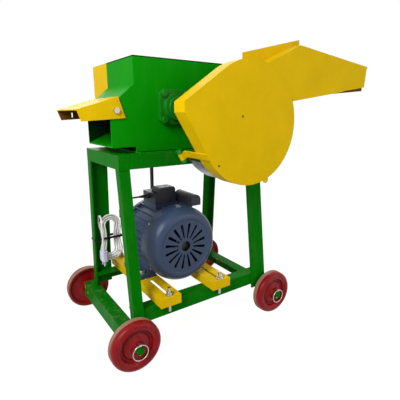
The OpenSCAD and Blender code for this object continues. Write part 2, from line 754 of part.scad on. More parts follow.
// Hood that tips about two bolts
module hood() color("#d6b208") deck() union() {
    for (far = [0, 1])
        difference() {
            along_y(far ? box_y1 + hood_gap : box_y0 - hood_gap - hood_wall,
                    far ? box_y1 + hood_gap + hood_wall : box_y0 - hood_gap)
                difference() {
                    polygon([[-223, 148], [-205, 93], [-322, 86], [hood_end, 115]]);
                    translate(hood_at) circle(r = hood_bolt_radius + running_clearance);
                    if (far) translate([-292, 94]) square([4, 13]);
                }
        }
    along_y(box_y0 - hood_gap - hood_wall, box_y1 + hood_gap + hood_wall)
        polygon([[-223, 148], [hood_end, 115], [hood_end + 0.9, 112.4], [-222.1, 145.4]]);
}

module hood_bolts() color("#969189") deck()
    for (far = [0, 1])
        translate([hood_at[0], far ? box_y1 : box_y0, hood_at[1]]) mirror([0, far, 0]) union() {
            rod_y(hood_bolt_radius, -hood_gap - hood_wall - 2, sheet + 6, $fn = 32);
            rod_y(8.5, -hood_gap - hood_wall - 6, -hood_gap - hood_wall - 0.5, $fn = 6);
            rod_y(7, sheet, sheet + 5, $fn = 6);
        }

// Guard over the gears and the pulley, open below for the belt
module drive_guard() color("#d6b208") deck()
    difference() {
        block([box_x0, box_y1, sheet], [guard_x1, guard_y1, box_h + sheet]);
        block([box_x0 + sheet, box_y1 - 1, -1], [guard_x1 - sheet, guard_y1 - sheet, box_h]);
    }

// A wedge about the thrower shaft between two angles
module wedge(from, to) polygon(concat([thrower_at],
    [for (i = [0 : 8]) on_lid(2 * lid_radius, from + (to - from) * i / 8)]));

// Casing behind the cover: a trough under the thrower that runs on round its right side, a web against the front
// rail, and a back plate beside the box with a return to its front wall
module transfer_trough() color("#a5afb2") deck() union() {
    difference() {
        along_y(lid_y1 + 2, front) intersection() {
            difference() {
                translate(thrower_at) circle(r = trough_radius, $fn = 96);
                translate(thrower_at) circle(r = trough_radius - sheet, $fn = 96);
            }
            wedge(trough_from, casing_to);
        }
        // Room for the near right leg
        block([thrower_at[0] + 81, front - 14, -trough_radius], [thrower_at[0] + 2 * trough_radius, front + 1, -1]);
    }
    along_y(front - sheet, front) intersection() {
        translate(thrower_at) circle(r = trough_radius, $fn = 96);
        union() {
            translate([thrower_at[0] - trough_radius + 18, -rail_size]) square([trough_radius + 62, rail_size]);
            translate([box_x1 - 12, -0.5]) square([trough_radius, 2 * trough_radius]);
        }
    }
    block([box_x1 - sheet, front - sheet / 2, sheet], [box_x1, box_y0, casing_top]);
}

// Outline of the cover, drawn in by a wall
module lid_outline(wall) polygon(concat(
    [[tip_top[0] + wall, touch_z(lid_radius - wall, top_tangent, tip_top[0] + wall)],
        [tip_low[0] + wall, touch_z(lid_radius - wall, low_tangent, tip_low[0] + wall)]],
    [for (i = [0 : 80]) on_lid(lid_radius - wall, low_tangent + (top_tangent + 360 - low_tangent) * i / 80)]));

module lid() color("#d6b208") deck() union() {
    along_y(lid_y0, lid_y0 + sheet) lid_outline(0);
    along_y(lid_y0, lid_y1) difference() {
        lid_outline(0);
        lid_outline(sheet);
        wedge(throat_from, throat_to);
    }
    // Ear at the lower right
    along_y(lid_y0, lid_y0 + sheet) difference() {
        translate(on_lid(lid_radius + 2, -69.4)) circle(r = 10, $fn = 24);
        translate(on_lid(lid_radius + 5.5, -69.4)) circle(r = 2.5, $fn = small);
    }
}

// A strip of sheet under the line from p to q
module strip(p, q, drop) polygon([p, q, q - [0, drop], p - [0, drop]]);

chute_slope = (chute_far_top[1] - chute_peak[1]) / (chute_far_top[0] - chute_peak[0]);
chute_tail = [chute_end, chute_far_top[1] + chute_slope * (chute_end - chute_far_top[0])];
floor_slope = (chute_far_low[1] - chute_low[1]) / (chute_far_low[0] - chute_low[0]);
chute_lip = [chute_floor_x, chute_low[1] + floor_slope * (chute_floor_x - chute_low[0])];

function below(p, drop) = p - [0, drop];

module chute() color("#d6b208") deck() union() {
    // Front wall, which ends inside the plates above and below it
    along_y(lid_y0, lid_y0 + sheet) difference() {
        polygon([below(chute_top, sheet / 2), below(chute_peak, sheet / 2), below(chute_far_top, sheet / 2),
            below(chute_far_low, -sheet / 2), below(chute_low, -sheet / 2)]);
        lid_outline(0);
    }
    // Bent top plate, cut slantwise at its end
    difference() {
        along_y(lid_y0, lid_y1 - sheet / 2) difference() {
            polygon([chute_top, chute_peak, chute_tail, below(chute_tail, sheet), below(chute_peak, sheet),
                below(chute_top, sheet)]);
            lid_outline(0);
        }
        translate([0, 0, chute_far_low[1]]) linear_extrude(height = 160)
            polygon([[chute_far_top[0] + 2, lid_y0 - 1], [chute_end + 9, lid_y0 - 1], [chute_end + 9, lid_y1 + 1],
                [chute_end - 2, lid_y1 + 1]]);
    }
    along_y(lid_y0, lid_y1 - sheet / 2) strip(below(chute_low, -sheet), below(chute_lip, -sheet), sheet);
    // Back wall, with a margin round the plates
    along_y(lid_y1 - sheet, lid_y1) difference() {
        polygon([on_lid(lid_radius + 4, 90.7), on_lid(lid_radius + 20, 90.7), [325, 324], [331, 296],
            below(chute_tail, -4), [chute_end, 186], below(chute_lip, 5), below(chute_low, 5)]);
        lid_outline(0);
    }
}

// Hinge of the cover

// Local frame on the flank: x along the flank, z into the cover
module on_flank() translate([flank_at[0], 0, flank_at[1]]) rotate([0, flank_turn, 0]) children();
// A bar along the flank at the hinge
module flank_rod(r, x0, x1) translate([x0, hinge_y, -eye_drop]) rotate([0, 90, 0]) cylinder(r = r, h = x1 - x0);

module lid_strap() color("#d6b208") deck() on_flank()
    difference() {
        union() {
            block([-strap_half, lid_y0, -strap_thick], [strap_half, hinge_y - 4, 0]);
            block([-strap_half, hinge_y - eye_radius, -eye_drop], [strap_half, hinge_y - 4, 0]);
            flank_rod(eye_radius, -strap_half, strap_half);
        }
        flank_rod(hinge_radius + running_clearance, -strap_half - 1, strap_half + 1);
    }

module hinge_pin() color("#008700") deck() on_flank() union() {
    flank_rod(hinge_radius, -20, 20);
    for (s = [-1, 1]) {
        flank_rod(eye_radius, s < 0 ? -19 : 11, s < 0 ? -11 : 19);
        block([s < 0 ? -19 : 11, hinge_y, -eye_drop - eye_radius], [s < 0 ? -11 : 19, front, -eye_drop + eye_radius]);
    }
}

// Cord: lead, joint, hank, tail and plug

function hank_radius(u) = hank_inner
    + hank_step * (u < hank_loops ? hank_loops - u : max(0, u - hank_loops - 0.25));
function hank_waist(f) = 1 - (1 - waist) * sin(180 * f);
// Point of the hank after u loops from its outer end; each loop has two runs and two folds
function hank_point(u) =
    let (r = hank_radius(u), part = floor((u - floor(u)) * 4 + 0.001), f = (u - floor(u)) * 4 - part,
        y = hank_y0 + (hank_y1 - hank_y0) * min(1, max(0, (u - hank_loops) * 4)), end = hank_run / 2)
    part == 0 ? [hank_x + r * hank_waist(f), y, hank_z + end - hank_run * f]
    : part == 1 ? [hank_x + r * cos(180 * f), y, hank_z - end - r * sin(180 * f)]
    : part == 2 ? [hank_x - r * hank_waist(f), y, hank_z - end + hank_run * f]
    : [hank_x - r * cos(180 * f), y, hank_z + end + r * sin(180 * f)];
hank_turns = 2 * hank_loops - 0.25;
hank_body = [for (i = [0 : 24 * hank_turns]) hank_point(i / 24)];
hank_last = hank_body[len(hank_body) - 1];
joint_z0 = hank_z + hank_run / 2 + joint_rise;
joint_at = [hank_body[0][0], hank_body[0][1], joint_z0 + joint_length];
hank_route = concat([[joint_at[0], joint_at[1], joint_z0], [joint_at[0], joint_at[1], joint_z0 - 7],
    [joint_at[0], joint_at[1], joint_z0 - 13]], hank_body, [hank_last + [0, 0, 5], hank_last + [0, 0, 11]]);
tail_from = hank_last + [0, 0, 11];

// Least gap between one part of the hank and another, measured on points
hank_samples = [for (i = [0 : 96 * hank_turns]) hank_point(i / 96)];
hank_gap = min([for (i = [0 : 2 : len(hank_samples) - 1]) for (j = [i + 40 : len(hank_samples) - 1])
    norm(hank_samples[i] - hank_samples[j])]) - cord_diameter;
function route_length(p) = len(p) < 2 ? 0 : [for (i = 0, s = 0; i < len(p); i = i + 1,
    s = i < len(p) ? s + norm(p[i] - p[i - 1]) : s) s][len(p) - 1];
echo(hank_gap = hank_gap, hank_length = route_length(hank_route));

lead_route = [[gland_x, gland_y, gland_z], [gland_x - 12, gland_y, gland_z], [gland_x - 24, gland_y, gland_z],
    [gland_x - 37, gland_y + 4, gland_z - 1], [gland_x - 46, gland_y + 14, gland_z - 3],
    [gland_x - 51, gland_y + 28, gland_z - 6], [gland_x - 52, gland_y + 46, gland_z - 11],
    [gland_x - 50, gland_y + 66, gland_z - 18], [gland_x - 46, gland_y + 86, gland_z - 28],
    [joint_at[0], joint_at[1] - 13, joint_at[2] + 26], [joint_at[0], joint_at[1] - 3, joint_at[2] + 15],
    [joint_at[0], joint_at[1], joint_at[2] + 7], joint_at];
tail_route = [tail_from, tail_from + [0, 0, 6], tail_from + [0, -2, 14], tail_from + [-0.5, -8, 22],
    tail_from + [-1, -17, 27], tail_from + [-2, -27, 27], tail_from + [-3, -36, 22],
    [plug_at[0], plug_at[1] + 1, tail_from[2] + 14], [plug_at[0], plug_at[1], tail_from[2] + 3],
    [plug_at[0], plug_at[1], tail_from[2] - 12], [plug_at[0], plug_at[1], tail_from[2] - 27],
    [plug_at[0], plug_at[1], tail_from[2] - 42], [plug_at[0], plug_at[1], plug_at[2] + 6], plug_at];

module motor_lead() color("#17181a") place() tube(lead_route, lead_radius, 10, unit([1, 1, -1]));

module lead_joint() color("#17181a") place() translate([joint_at[0], joint_at[1], joint_z0])
    cylinder(r = joint_radius, h = joint_length, $fn = 24);

module mains_hank() color("#ebebe6") place() tube(hank_route, cord_radius, 6, [0, 1, 0]);

module plug_tail() color("#ebebe6") place() tube(tail_route, cord_radius, 8, [1, 0, 0]);

// Plug with three flat pins
module plug() color("#cdcde1") place() translate(plug_at) union() {
    translate([0, 0, -12]) cylinder(r = 6, h = 12, $fn = 24);
    translate([0, 0, -44]) linear_extrude(height = 33)
        polygon([[-9, -13], [-5, -16], [5, -16], [9, -13], [9, 13], [5, 16], [-5, 16], [-9, 13]]);
    for (p = [[-3, -9], [-3, 9], [4, 0]])
        translate([p[0] - 1, p[1] - 3, -61]) cube([2, 6, 18]);
}

// Band that ties the hank to the leg
module cord_tie() color("#17181a") place() {
    x1 = hank_x + hank_radius(0) * waist + cord_radius + 1;
    y0 = half_w + (leg_top - hank_z - 4) * tan(far_splay) - leg_return / cos(far_splay) - 0.6;
    y1 = half_w + (leg_top - hank_z + 4) * tan(far_splay) + 0.4;
    difference() {
        block([-half_l - 1.5, y0 - 1.5, hank_z - 4], [x1 + 1.5, y1 + 1.5, hank_z + 4]);
        block([-half_l, y0, hank_z - 5], [x1, y1, hank_z + 5]);
    }
}

legs_near();
legs_far();
top_rails_long();
top_rails_short();
side_rails();
axle_beams();
axles();
wheel_near_left();
wheel_near_right();
wheel_far_left();
wheel_far_right();
tyre_near_left();
tyre_near_right();
tyre_far_left();
tyre_far_right();
ring_pins();
motor_rails();
rail_bolts();
motor_body();
drive_end_shield();
fan_cowl();
cooling_fan();
motor_shaft();
terminal_box();
terminal_lid();
capacitor_cover();
motor_pulley();
motor_bolts();
drive_belt();
main_shaft();
main_pulley();
main_gear();
knife_drum();
knives();
shear_bar();
thrower_shaft();
thrower_gear();
thrower();
flange_bearings();
flange_bolts();
box_front();
box_rear();
box_right();
box_top();
floor_plates();
mouth_roof();
hood();
hood_bolts();
drive_guard();
transfer_trough();
lid();
chute();
lid_strap();
hinge_pin();
motor_lead();
lead_joint();
mains_hank();
plug_tail();
plug();
cord_tie();
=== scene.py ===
import math

import bpy
from mathutils import Matrix, Vector


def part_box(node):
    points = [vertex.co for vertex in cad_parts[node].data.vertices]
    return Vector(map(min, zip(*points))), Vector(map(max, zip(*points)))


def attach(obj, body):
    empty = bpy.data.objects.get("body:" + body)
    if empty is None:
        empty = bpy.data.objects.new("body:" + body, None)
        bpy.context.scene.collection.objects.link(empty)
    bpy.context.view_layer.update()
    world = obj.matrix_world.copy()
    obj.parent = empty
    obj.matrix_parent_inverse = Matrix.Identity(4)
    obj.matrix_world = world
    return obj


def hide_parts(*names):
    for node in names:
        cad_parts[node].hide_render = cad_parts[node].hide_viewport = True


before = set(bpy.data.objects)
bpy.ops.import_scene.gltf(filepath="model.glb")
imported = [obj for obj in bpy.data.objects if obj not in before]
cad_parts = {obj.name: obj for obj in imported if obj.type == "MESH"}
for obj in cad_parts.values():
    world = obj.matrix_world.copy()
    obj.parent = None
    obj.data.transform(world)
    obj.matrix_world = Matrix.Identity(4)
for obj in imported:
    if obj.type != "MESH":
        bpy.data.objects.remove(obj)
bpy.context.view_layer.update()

bl_info = {
    "name": "Chaff cutter",
    "version": (1, 0, 0),
    "blender": (4, 5, 0),
    "location": "View3D > Sidebar > Chaff cutter",
    "description": "Finishes, cords and small fittings of a motor-driven chaff cutter",
    "category": "Object",
}

# The machine's own drawing is in millimetres, with its zero between the wheels. The model is in metres, with
# its zero under the middle of its box, which is here in the drawing:
MIDDLE_X = 179.0
MIDDLE_Y = -4.9874
# X and Z of the shafts' axes in the drawing
MOTOR_AXIS = (-50.0, 288.0)
KNIFE_AXIS = (-59.0, 699.0)
THROWER_AXIS = (100.25, 652.13)
# Diameters of the two cords in the drawing
MAINS_D = 5.5
LEAD_D = 6.0


def at(x, y, z):
    """A point of the machine's drawing, in millimetres, as a point of the model in metres."""
    return Vector((x - MIDDLE_X, y - MIDDLE_Y, z)) / 1000


def linear(hex_colour):
    """An sRGB hex colour in linear light."""
    parts = []
    for start in (1, 3, 5):
        value = int(hex_colour[start:start + 2], 16) / 255
        parts.append(value / 12.92 if value <= 0.04045 else ((value + 0.055) / 1.055) ** 2.4)
    return (*parts, 1.0)


def colour_prop(label, words, hex_colour):
    """A colour that a user may change."""
    return bpy.props.FloatVectorProperty(
        name=label, description=words, subtype="COLOR", size=4, min=0, max=1, default=linear(hex_colour))


def length_prop(label, words, metres):
    """A length that a user may change."""
    return bpy.props.FloatProperty(
        name=label, description=words, unit="LENGTH", min=0, default=metres, precision=5)


def power_prop(label, words, watts):
    """A lamp's power that a user may change."""
    return bpy.props.FloatProperty(name=label, description=words, unit="POWER", min=0, default=watts)


class CUTTER_PG_finish(bpy.types.PropertyGroup):
    """Colours of the machine"""

    green: colour_prop("Green enamel", "Colour of the chopping box", "#078C04")
    # The stand's green is darker than the box's: partly its own paint, partly painted shade on the low frame
    stand_paint_and_shade: colour_prop("Green stand", "Colour of the legs, rails and beams", "#056D04")
    green_cast: colour_prop("Green castings", "Colour of the bearing housings", "#06780C")
    # The top plate's dark green is painted shade along the box's top edge
    top_plate_shade: colour_prop("Top plate shade", "Colour of the top plate", "#06330A")
    yellow: colour_prop("Yellow enamel", "Colour of the hood, guard, cover, chute and slide rails", "#DFB806")
    motor: colour_prop("Motor enamel", "Colour of the motor", "#34425C")
    red: colour_prop("Red enamel", "Colour of the wheels", "#860A12")
    tread: colour_prop("Tread", "Colour of the bands round the wheels", "#96705C")
    pale_cord: colour_prop("Mains cord", "Colour of the hank's sheath", "#E9E9E4")
    plug: colour_prop("Plug", "Colour of the plug", "#CFCFE2")


class CUTTER_PG_sizes(bpy.types.PropertyGroup):
    """Sizes of the small fittings"""

    mains_d: length_prop("Mains cord", "Diameter of the pale mains cord", MAINS_D / 1000)
    lead_d: length_prop("Motor lead", "Diameter of the black motor lead", LEAD_D / 1000)
    relief_r: length_prop("Strain relief", "Radius of the lead's relief at the gland", 0.0062)
    relief_length: length_prop("Relief length", "Length of the lead's relief", 0.023)
    screw_r: length_prop("Screw head", "Radius of the small screw heads", 0.004)
    rivet_r: length_prop("Rivet", "Radius of a rivet's dome", 0.0028)
    nipple_r: length_prop("Grease nipple", "Radius of a grease nipple's foot", 0.0034)
    nipple_length: length_prop("Nipple length", "Length of a grease nipple", 0.011)
    bead_r: length_prop("Weld bead", "Half the width of a weld bead", 0.0022)


class CUTTER_PG_stage(bpy.types.PropertyGroup):
    """Light and camera"""

    lens: bpy.props.FloatProperty(
        name="Lens", description="Focal length of the camera in millimetres", unit="CAMERA", default=31.3)
    key: power_prop("Key light", "Power of the light on the left", 37)
    fill: power_prop("Fill light", "Power of the light on the right", 24)
    back: power_prop("Back light", "Power of the light behind the machine", 34)
    sky: bpy.props.FloatProperty(
        name="Sky", description="Strength of the even light from all round", min=0, default=0.38)


# Finishes

# The setting that makes a Mix node mix colours, and its colour sockets
COLOURS = {"data_type": "RGBA"}
MIX_A = 6
MIX_B = 7
MIX_OUT = 2

# How round a painted or moulded edge looks, in metres, and how many rays feel for it
EDGE_ROUND = {"Radius": 0.0012}
EDGE_SAMPLES = {"samples": 4}
# How far paint is rubbed off an edge
EDGE_WEAR = 0.55

# Millimetres across the patterns of enamel: thin patches, dust streaks, knocked places and rubbed places
PATCH_MM = 90
STREAK_MM = 22
KNOCK_MM = 140
RUB_MM = 14
# Chips lie about this many of their own widths apart
CHIP_SPACING = 16
# How much lighter and darker the patches are in enamel and in moulded pieces
ENAMEL_UNEVEN = 0.05
MOULD_UNEVEN = 0.12
# Pale dry dust on paint and on moulded pieces
PAINT_DUST = "#B9AE93"
MOULD_DUST = "#B7A98E"

# A face takes painted shade if the shade's point lies at least this far before it, and the painted shade
# comes in over a length along X; both are in metres
PAINTED_SHADE_DEPTH = 0.004
PAINTED_SHADE_LENGTH = 0.05
# Where painted shade starts that has no start
ANYWHERE = -10.0
# The painted shade in the box is centred this far under the roof of the mouth, in metres
MOUTH_DROP = 0.03
# The painted shade in the chute starts at this X of the drawing
CHUTE_SHADE_X = 470
# Painted shade inside the hollows: dark green in the box, and a dark brown in the hood and chute for their
# shade and the hood's bare steel
GREEN_PAINTED_SHADE = "#04330A"
BROWN_SHADE_AND_BARE_STEEL = "#6E430F"

# Millimetres across the grain of bare metal and the dust patches on moulded pieces
METAL_GRAIN_MM = 1.2
DUST_PATCH_MM = 30

# The finishes by name
FINISHES = {}


def add(tree, kind, settings=None, values=None, links=None):
    """Adds a node, sets its properties and sockets, and links its inputs."""
    node = tree.nodes.new(kind)
    for name, value in (settings or {}).items():
        setattr(node, name, value)
    for name, value in (values or {}).items():
        node.inputs[name].default_value = value
    for name, source in (links or {}).items():
        tree.links.new(source, node.inputs[name])
    return node


def begin(name):
    """Starts a finish, and gives its node tree, its shader and its object coordinates."""
    material = bpy.data.materials.new(name)
    material.use_nodes = True
    FINISHES[name] = material
    tree = material.node_tree
    shader = tree.nodes["Principled BSDF"]
    place = add(tree, "ShaderNodeTexCoord").outputs["Object"]
    return tree, shader, place


def per_mm(size):
    """The scale of a pattern whose features are this many millimetres across."""
    return 1000.0 / size


def shade(colour, factor):
    """The same colour, darker or lighter."""
    return (*[min(1.0, c * factor) for c in colour[:3]], 1.0)


def enamel(name, colour, chip_colour, roughness, dust, gloss=0.02, peel_mm=2.2, peel=0.18,
           chip_mm=2.0, chips=0.03, painted_shade=None):
    """Sprayed enamel: a faint orange peel, thin patches, dust in streaks, a few chips and rubbed edges.

    Painted shade is a colour, a point and an X. It paints the faces that look in at the point, from that X
    on, in that colour, as shade falls inside a hollow.
    """
    tree, shader, place = begin(name)
    cloud = add(tree, "ShaderNodeTexNoise",
                values={"Scale": per_mm(PATCH_MM), "Detail": 4.0, "Roughness": 0.6},
                links={"Vector": place})
    patches = add(tree, "ShaderNodeMapRange", values={"From Min": 0.35, "From Max": 0.7},
                  links={"Value": cloud.outputs["Fac"]})
    body = add(tree, "ShaderNodeMix", COLOURS,
               {MIX_A: shade(colour, 1 - ENAMEL_UNEVEN), MIX_B: shade(colour, 1 + ENAMEL_UNEVEN)},
               {"Factor": patches.outputs["Result"]})
    # Dust runs down the sheet, so its pattern is drawn long in Z
    long_in_z = add(tree, "ShaderNodeMapping", values={"Scale": (1.0, 1.0, 0.22)}, links={"Vector": place})
    streak = add(tree, "ShaderNodeTexNoise",
                 values={"Scale": per_mm(STREAK_MM), "Detail": 6.0, "Roughness": 0.7},
                 links={"Vector": long_in_z.outputs["Vector"]}).outputs["Fac"]
    film = add(tree, "ShaderNodeMapRange", values={"From Min": 0.52, "From Max": 0.8, "To Max": dust},
               links={"Value": streak})
    dusty = add(tree, "ShaderNodeMix", COLOURS, {MIX_B: linear(PAINT_DUST)},
                {"Factor": film.outputs["Result"], MIX_A: body.outputs[MIX_OUT]})
    # Chips sit at scattered points, and only where the paint has been knocked
    spots = add(tree, "ShaderNodeTexVoronoi",
                values={"Scale": per_mm(chip_mm * CHIP_SPACING), "Randomness": 1.0},
                links={"Vector": place})
    knocked = add(tree, "ShaderNodeTexNoise", values={"Scale": per_mm(KNOCK_MM), "Detail": 2.0},
                  links={"Vector": place})
    reach = add(tree, "ShaderNodeMapRange", values={"From Min": 0.5, "From Max": 0.72, "To Max": chips},
                links={"Value": knocked.outputs["Fac"]})
    chipped = add(tree, "ShaderNodeMath", {"operation": "LESS_THAN"},
                  links={0: spots.outputs["Distance"], 1: reach.outputs["Result"]})
    # Paint wears thin on the edges, in broken lines
    rounded = add(tree, "ShaderNodeBevel", EDGE_SAMPLES, EDGE_ROUND).outputs["Normal"]
    flat = add(tree, "ShaderNodeNewGeometry").outputs["Normal"]
    facing = add(tree, "ShaderNodeVectorMath", {"operation": "DOT_PRODUCT"}, links={0: rounded, 1: flat})
    edge = add(tree, "ShaderNodeMapRange", values={"From Min": 0.95, "From Max": 0.8},
               links={"Value": facing.outputs["Value"]})
    broken = add(tree, "ShaderNodeTexNoise", values={"Scale": per_mm(RUB_MM), "Detail": 5.0},
                 links={"Vector": place})
    gaps = add(tree, "ShaderNodeMapRange", values={"From Min": 0.5, "From Max": 0.68, "To Max": EDGE_WEAR},
               links={"Value": broken.outputs["Fac"]})
    rubbed = add(tree, "ShaderNodeMath", {"operation": "MULTIPLY"},
                 links={0: edge.outputs["Result"], 1: gaps.outputs["Result"]})
    worn = add(tree, "ShaderNodeMath", {"operation": "MAXIMUM"},
               links={0: chipped.outputs["Value"], 1: rubbed.outputs["Value"]})
    coat = add(tree, "ShaderNodeMix", COLOURS, {MIX_B: chip_colour},
               {"Factor": worn.outputs["Value"], MIX_A: dusty.outputs[MIX_OUT]})
    # Painted shade: faces that look in at the centre, from the start X on, take the darker colour
    if painted_shade:
        painted_shade_colour, centre, start_x = painted_shade
        away = add(tree, "ShaderNodeVectorMath", {"operation": "SUBTRACT"}, {1: centre}, {0: place})
        own_normal = add(tree, "ShaderNodeVectorTransform",
                         {"vector_type": "NORMAL", "convert_from": "WORLD", "convert_to": "OBJECT"},
                         links={"Vector": flat})
        outward = add(tree, "ShaderNodeVectorMath", {"operation": "DOT_PRODUCT"},
                      links={0: away.outputs["Vector"], 1: own_normal.outputs["Vector"]})
        inner = add(tree, "ShaderNodeMath", {"operation": "LESS_THAN"}, {1: -PAINTED_SHADE_DEPTH},
                    {0: outward.outputs["Value"]})
        along = add(tree, "ShaderNodeSeparateXYZ", links={"Vector": place})
        begun = add(tree, "ShaderNodeMapRange",
                    values={"From Min": start_x, "From Max": start_x + PAINTED_SHADE_LENGTH},
                    links={"Value": along.outputs["X"]})
        painted_shade_mask = add(tree, "ShaderNodeMath", {"operation": "MULTIPLY"},
                     links={0: inner.outputs["Value"], 1: begun.outputs["Result"]})
        coat = add(tree, "ShaderNodeMix", COLOURS, {MIX_B: painted_shade_colour},
                   {"Factor": painted_shade_mask.outputs["Value"], MIX_A: coat.outputs[MIX_OUT]})
    tree.links.new(coat.outputs[MIX_OUT], shader.inputs["Base Color"])
    sheen = add(tree, "ShaderNodeMapRange",
                values={"From Min": 0.3, "From Max": 0.75,
                        "To Min": roughness - 0.07, "To Max": roughness + 0.12},
                links={"Value": streak})
    tree.links.new(sheen.outputs["Result"], shader.inputs["Roughness"])
    skin = add(tree, "ShaderNodeTexNoise", values={"Scale": per_mm(peel_mm), "Detail": 2.0},
               links={"Vector": place})
    bump = add(tree, "ShaderNodeBump", values={"Strength": peel, "Distance": 0.0006},
               links={"Height": skin.outputs["Fac"], "Normal": rounded})
    tree.links.new(bump.outputs["Normal"], shader.inputs["Normal"])
    shader.inputs["IOR"].default_value = 1.5
    # Enamel that has lost its first gloss mirrors little of a white room
    shader.inputs["Specular IOR Level"].default_value = gloss


def plated(name, hex_colour, roughness, cell_mm, contrast):
    """Bare or plated metal: a fine brushed grain under a cloudy film."""
    tree, shader, place = begin(name)
    colour = linear(hex_colour)
    film = add(tree, "ShaderNodeTexVoronoi", values={"Scale": per_mm(cell_mm), "Randomness": 1.0},
               links={"Vector": place})
    tone = add(tree, "ShaderNodeRGBToBW", links={"Color": film.outputs["Color"]})
    cells = add(tree, "ShaderNodeMix", COLOURS,
                {MIX_A: shade(colour, 1 - contrast), MIX_B: shade(colour, 1 + contrast)},
                {"Factor": tone.outputs["Val"]})
    tree.links.new(cells.outputs[MIX_OUT], shader.inputs["Base Color"])
    # The grain runs along the shafts, so its pattern is drawn long in Y
    long_in_y = add(tree, "ShaderNodeMapping", values={"Scale": (1.0, 0.06, 1.0)}, links={"Vector": place})
    grain = add(tree, "ShaderNodeTexNoise", values={"Scale": per_mm(METAL_GRAIN_MM), "Detail": 3.0},
                links={"Vector": long_in_y.outputs["Vector"]}).outputs["Fac"]
    sheen = add(tree, "ShaderNodeMapRange",
                values={"From Min": 0.3, "From Max": 0.7,
                        "To Min": roughness - 0.08, "To Max": roughness + 0.1},
                links={"Value": grain})
    tree.links.new(sheen.outputs["Result"], shader.inputs["Roughness"])
    bump = add(tree, "ShaderNodeBump", values={"Strength": 0.12, "Distance": 0.0002}, links={"Height": grain})
    tree.links.new(bump.outputs["Normal"], shader.inputs["Normal"])
    shader.inputs["Metallic"].default_value = 1.0


def moulded(name, colour, roughness, grain_mm, dust):
    """Moulded plastic, rubber or cast metal: an even grain, and dust in patches.

    The grain is drawn as coarse as it needs to show.
    """
    tree, shader, place = begin(name)
    patch = add(tree, "ShaderNodeTexNoise",
                values={"Scale": per_mm(DUST_PATCH_MM), "Detail": 5.0, "Roughness": 0.65},
                links={"Vector": place}).outputs["Fac"]
    tone = add(tree, "ShaderNodeMapRange", values={"From Min": 0.3, "From Max": 0.7}, links={"Value": patch})
    body = add(tree, "ShaderNodeMix", COLOURS,
               {MIX_A: shade(colour, 1 - MOULD_UNEVEN), MIX_B: shade(colour, 1 + MOULD_UNEVEN)},
               {"Factor": tone.outputs["Result"]})
    film = add(tree, "ShaderNodeMapRange", values={"From Min": 0.55, "From Max": 0.85, "To Max": dust},
               links={"Value": patch})
    dusty = add(tree, "ShaderNodeMix", COLOURS, {MIX_B: linear(MOULD_DUST)},
                {"Factor": film.outputs["Result"], MIX_A: body.outputs[MIX_OUT]})
    tree.links.new(dusty.outputs[MIX_OUT], shader.inputs["Base Color"])
    grain = add(tree, "ShaderNodeTexNoise", values={"Scale": per_mm(grain_mm), "Detail": 3.0},
                links={"Vector": place}).outputs["Fac"]
    sheen = add(tree, "ShaderNodeMapRange",
                values={"From Min": 0.3, "From Max": 0.7,
                        "To Min": roughness - 0.06, "To Max": roughness + 0.1},
                links={"Value": grain})
    tree.links.new(sheen.outputs["Result"], shader.inputs["Roughness"])
    rounded = add(tree, "ShaderNodeBevel", EDGE_SAMPLES, EDGE_ROUND)
    bump = add(tree, "ShaderNodeBump", values={"Strength": 0.25, "Distance": 0.0004},
               links={"Height": grain, "Normal": rounded.outputs["Normal"]})
    tree.links.new(bump.outputs["Normal"], shader.inputs["Normal"])
    shader.inputs["IOR"].default_value = 1.49
    shader.inputs["Specular IOR Level"].default_value = 0.3


def ribbed_rubber(name, hex_colour, rib_mm):
    """Wrapped belt rubber: dull, with the cloth wrap's cross ribs."""
    tree, shader, place = begin(name)
    colour = linear(hex_colour)
    # A wave texture turns twenty radians for each unit of its scale
    waves = per_mm(rib_mm) * math.tau / 20
    ribs = add(tree, "ShaderNodeTexWave", {"bands_direction": "Z"}, {"Scale": waves, "Distortion": 0.6},
               {"Vector": place}).outputs["Fac"]
    wrap = add(tree, "ShaderNodeMix", COLOURS, {MIX_A: shade(colour, 0.7), MIX_B: shade(colour, 1.5)},
               {"Factor": ribs})
    tree.links.new(wrap.outputs[MIX_OUT], shader.inputs["Base Color"])
    bump = add(tree, "ShaderNodeBump", values={"Strength": 0.3, "Distance": 0.0004}, links={"Height": ribs})
    tree.links.new(bump.outputs["Normal"], shader.inputs["Normal"])
    shader.inputs["Roughness"].default_value = 0.75


# Which finish each node of the machine wears
WEARS = {
    "green enamel": ["box_front", "box_rear", "box_right", "floor_plates", "mouth_roof"],
    "cast enamel": ["flange_bearings", "flange_bolts", "hinge_pin"],
    "stand enamel": ["legs_near", "legs_far", "top_rails_long", "top_rails_short", "side_rails", "axles"],
    "scuffed enamel": ["axle_beams"],
    "painted top shade": ["box_top"],
    "yellow enamel": ["motor_rails", "drive_guard", "lid", "lid_strap"],
    "hood enamel": ["hood"],
    "chute enamel": ["chute"],
    "motor enamel": ["motor_body", "drive_end_shield", "fan_cowl"],
    "black ABS": ["cooling_fan", "terminal_box", "terminal_lid", "capacitor_cover"],
    "zinc plate": ["ring_pins", "rail_bolts", "motor_bolts", "hood_bolts"],
    "shaded shaft steel": ["motor_shaft"],
    "turned steel": ["main_shaft", "main_gear", "knife_drum", "knives", "shear_bar",
                     "thrower_shaft", "thrower_gear", "thrower"],
    "cast iron": ["motor_pulley", "main_pulley"],
    "galvanised sheet": ["transfer_trough"],
    "red enamel": ["wheel_near_left", "wheel_near_right", "wheel_far_left", "wheel_far_right"],
    "tan tread": ["tyre_near_left", "tyre_near_right", "tyre_far_left", "tyre_far_right"],
    "belt rubber": ["drive_belt"],
    "black PVC": ["motor_lead", "lead_joint", "cord_tie"],
    "pale PVC": ["mains_hank", "plug_tail"],
    "plug plastic": ["plug"],
}


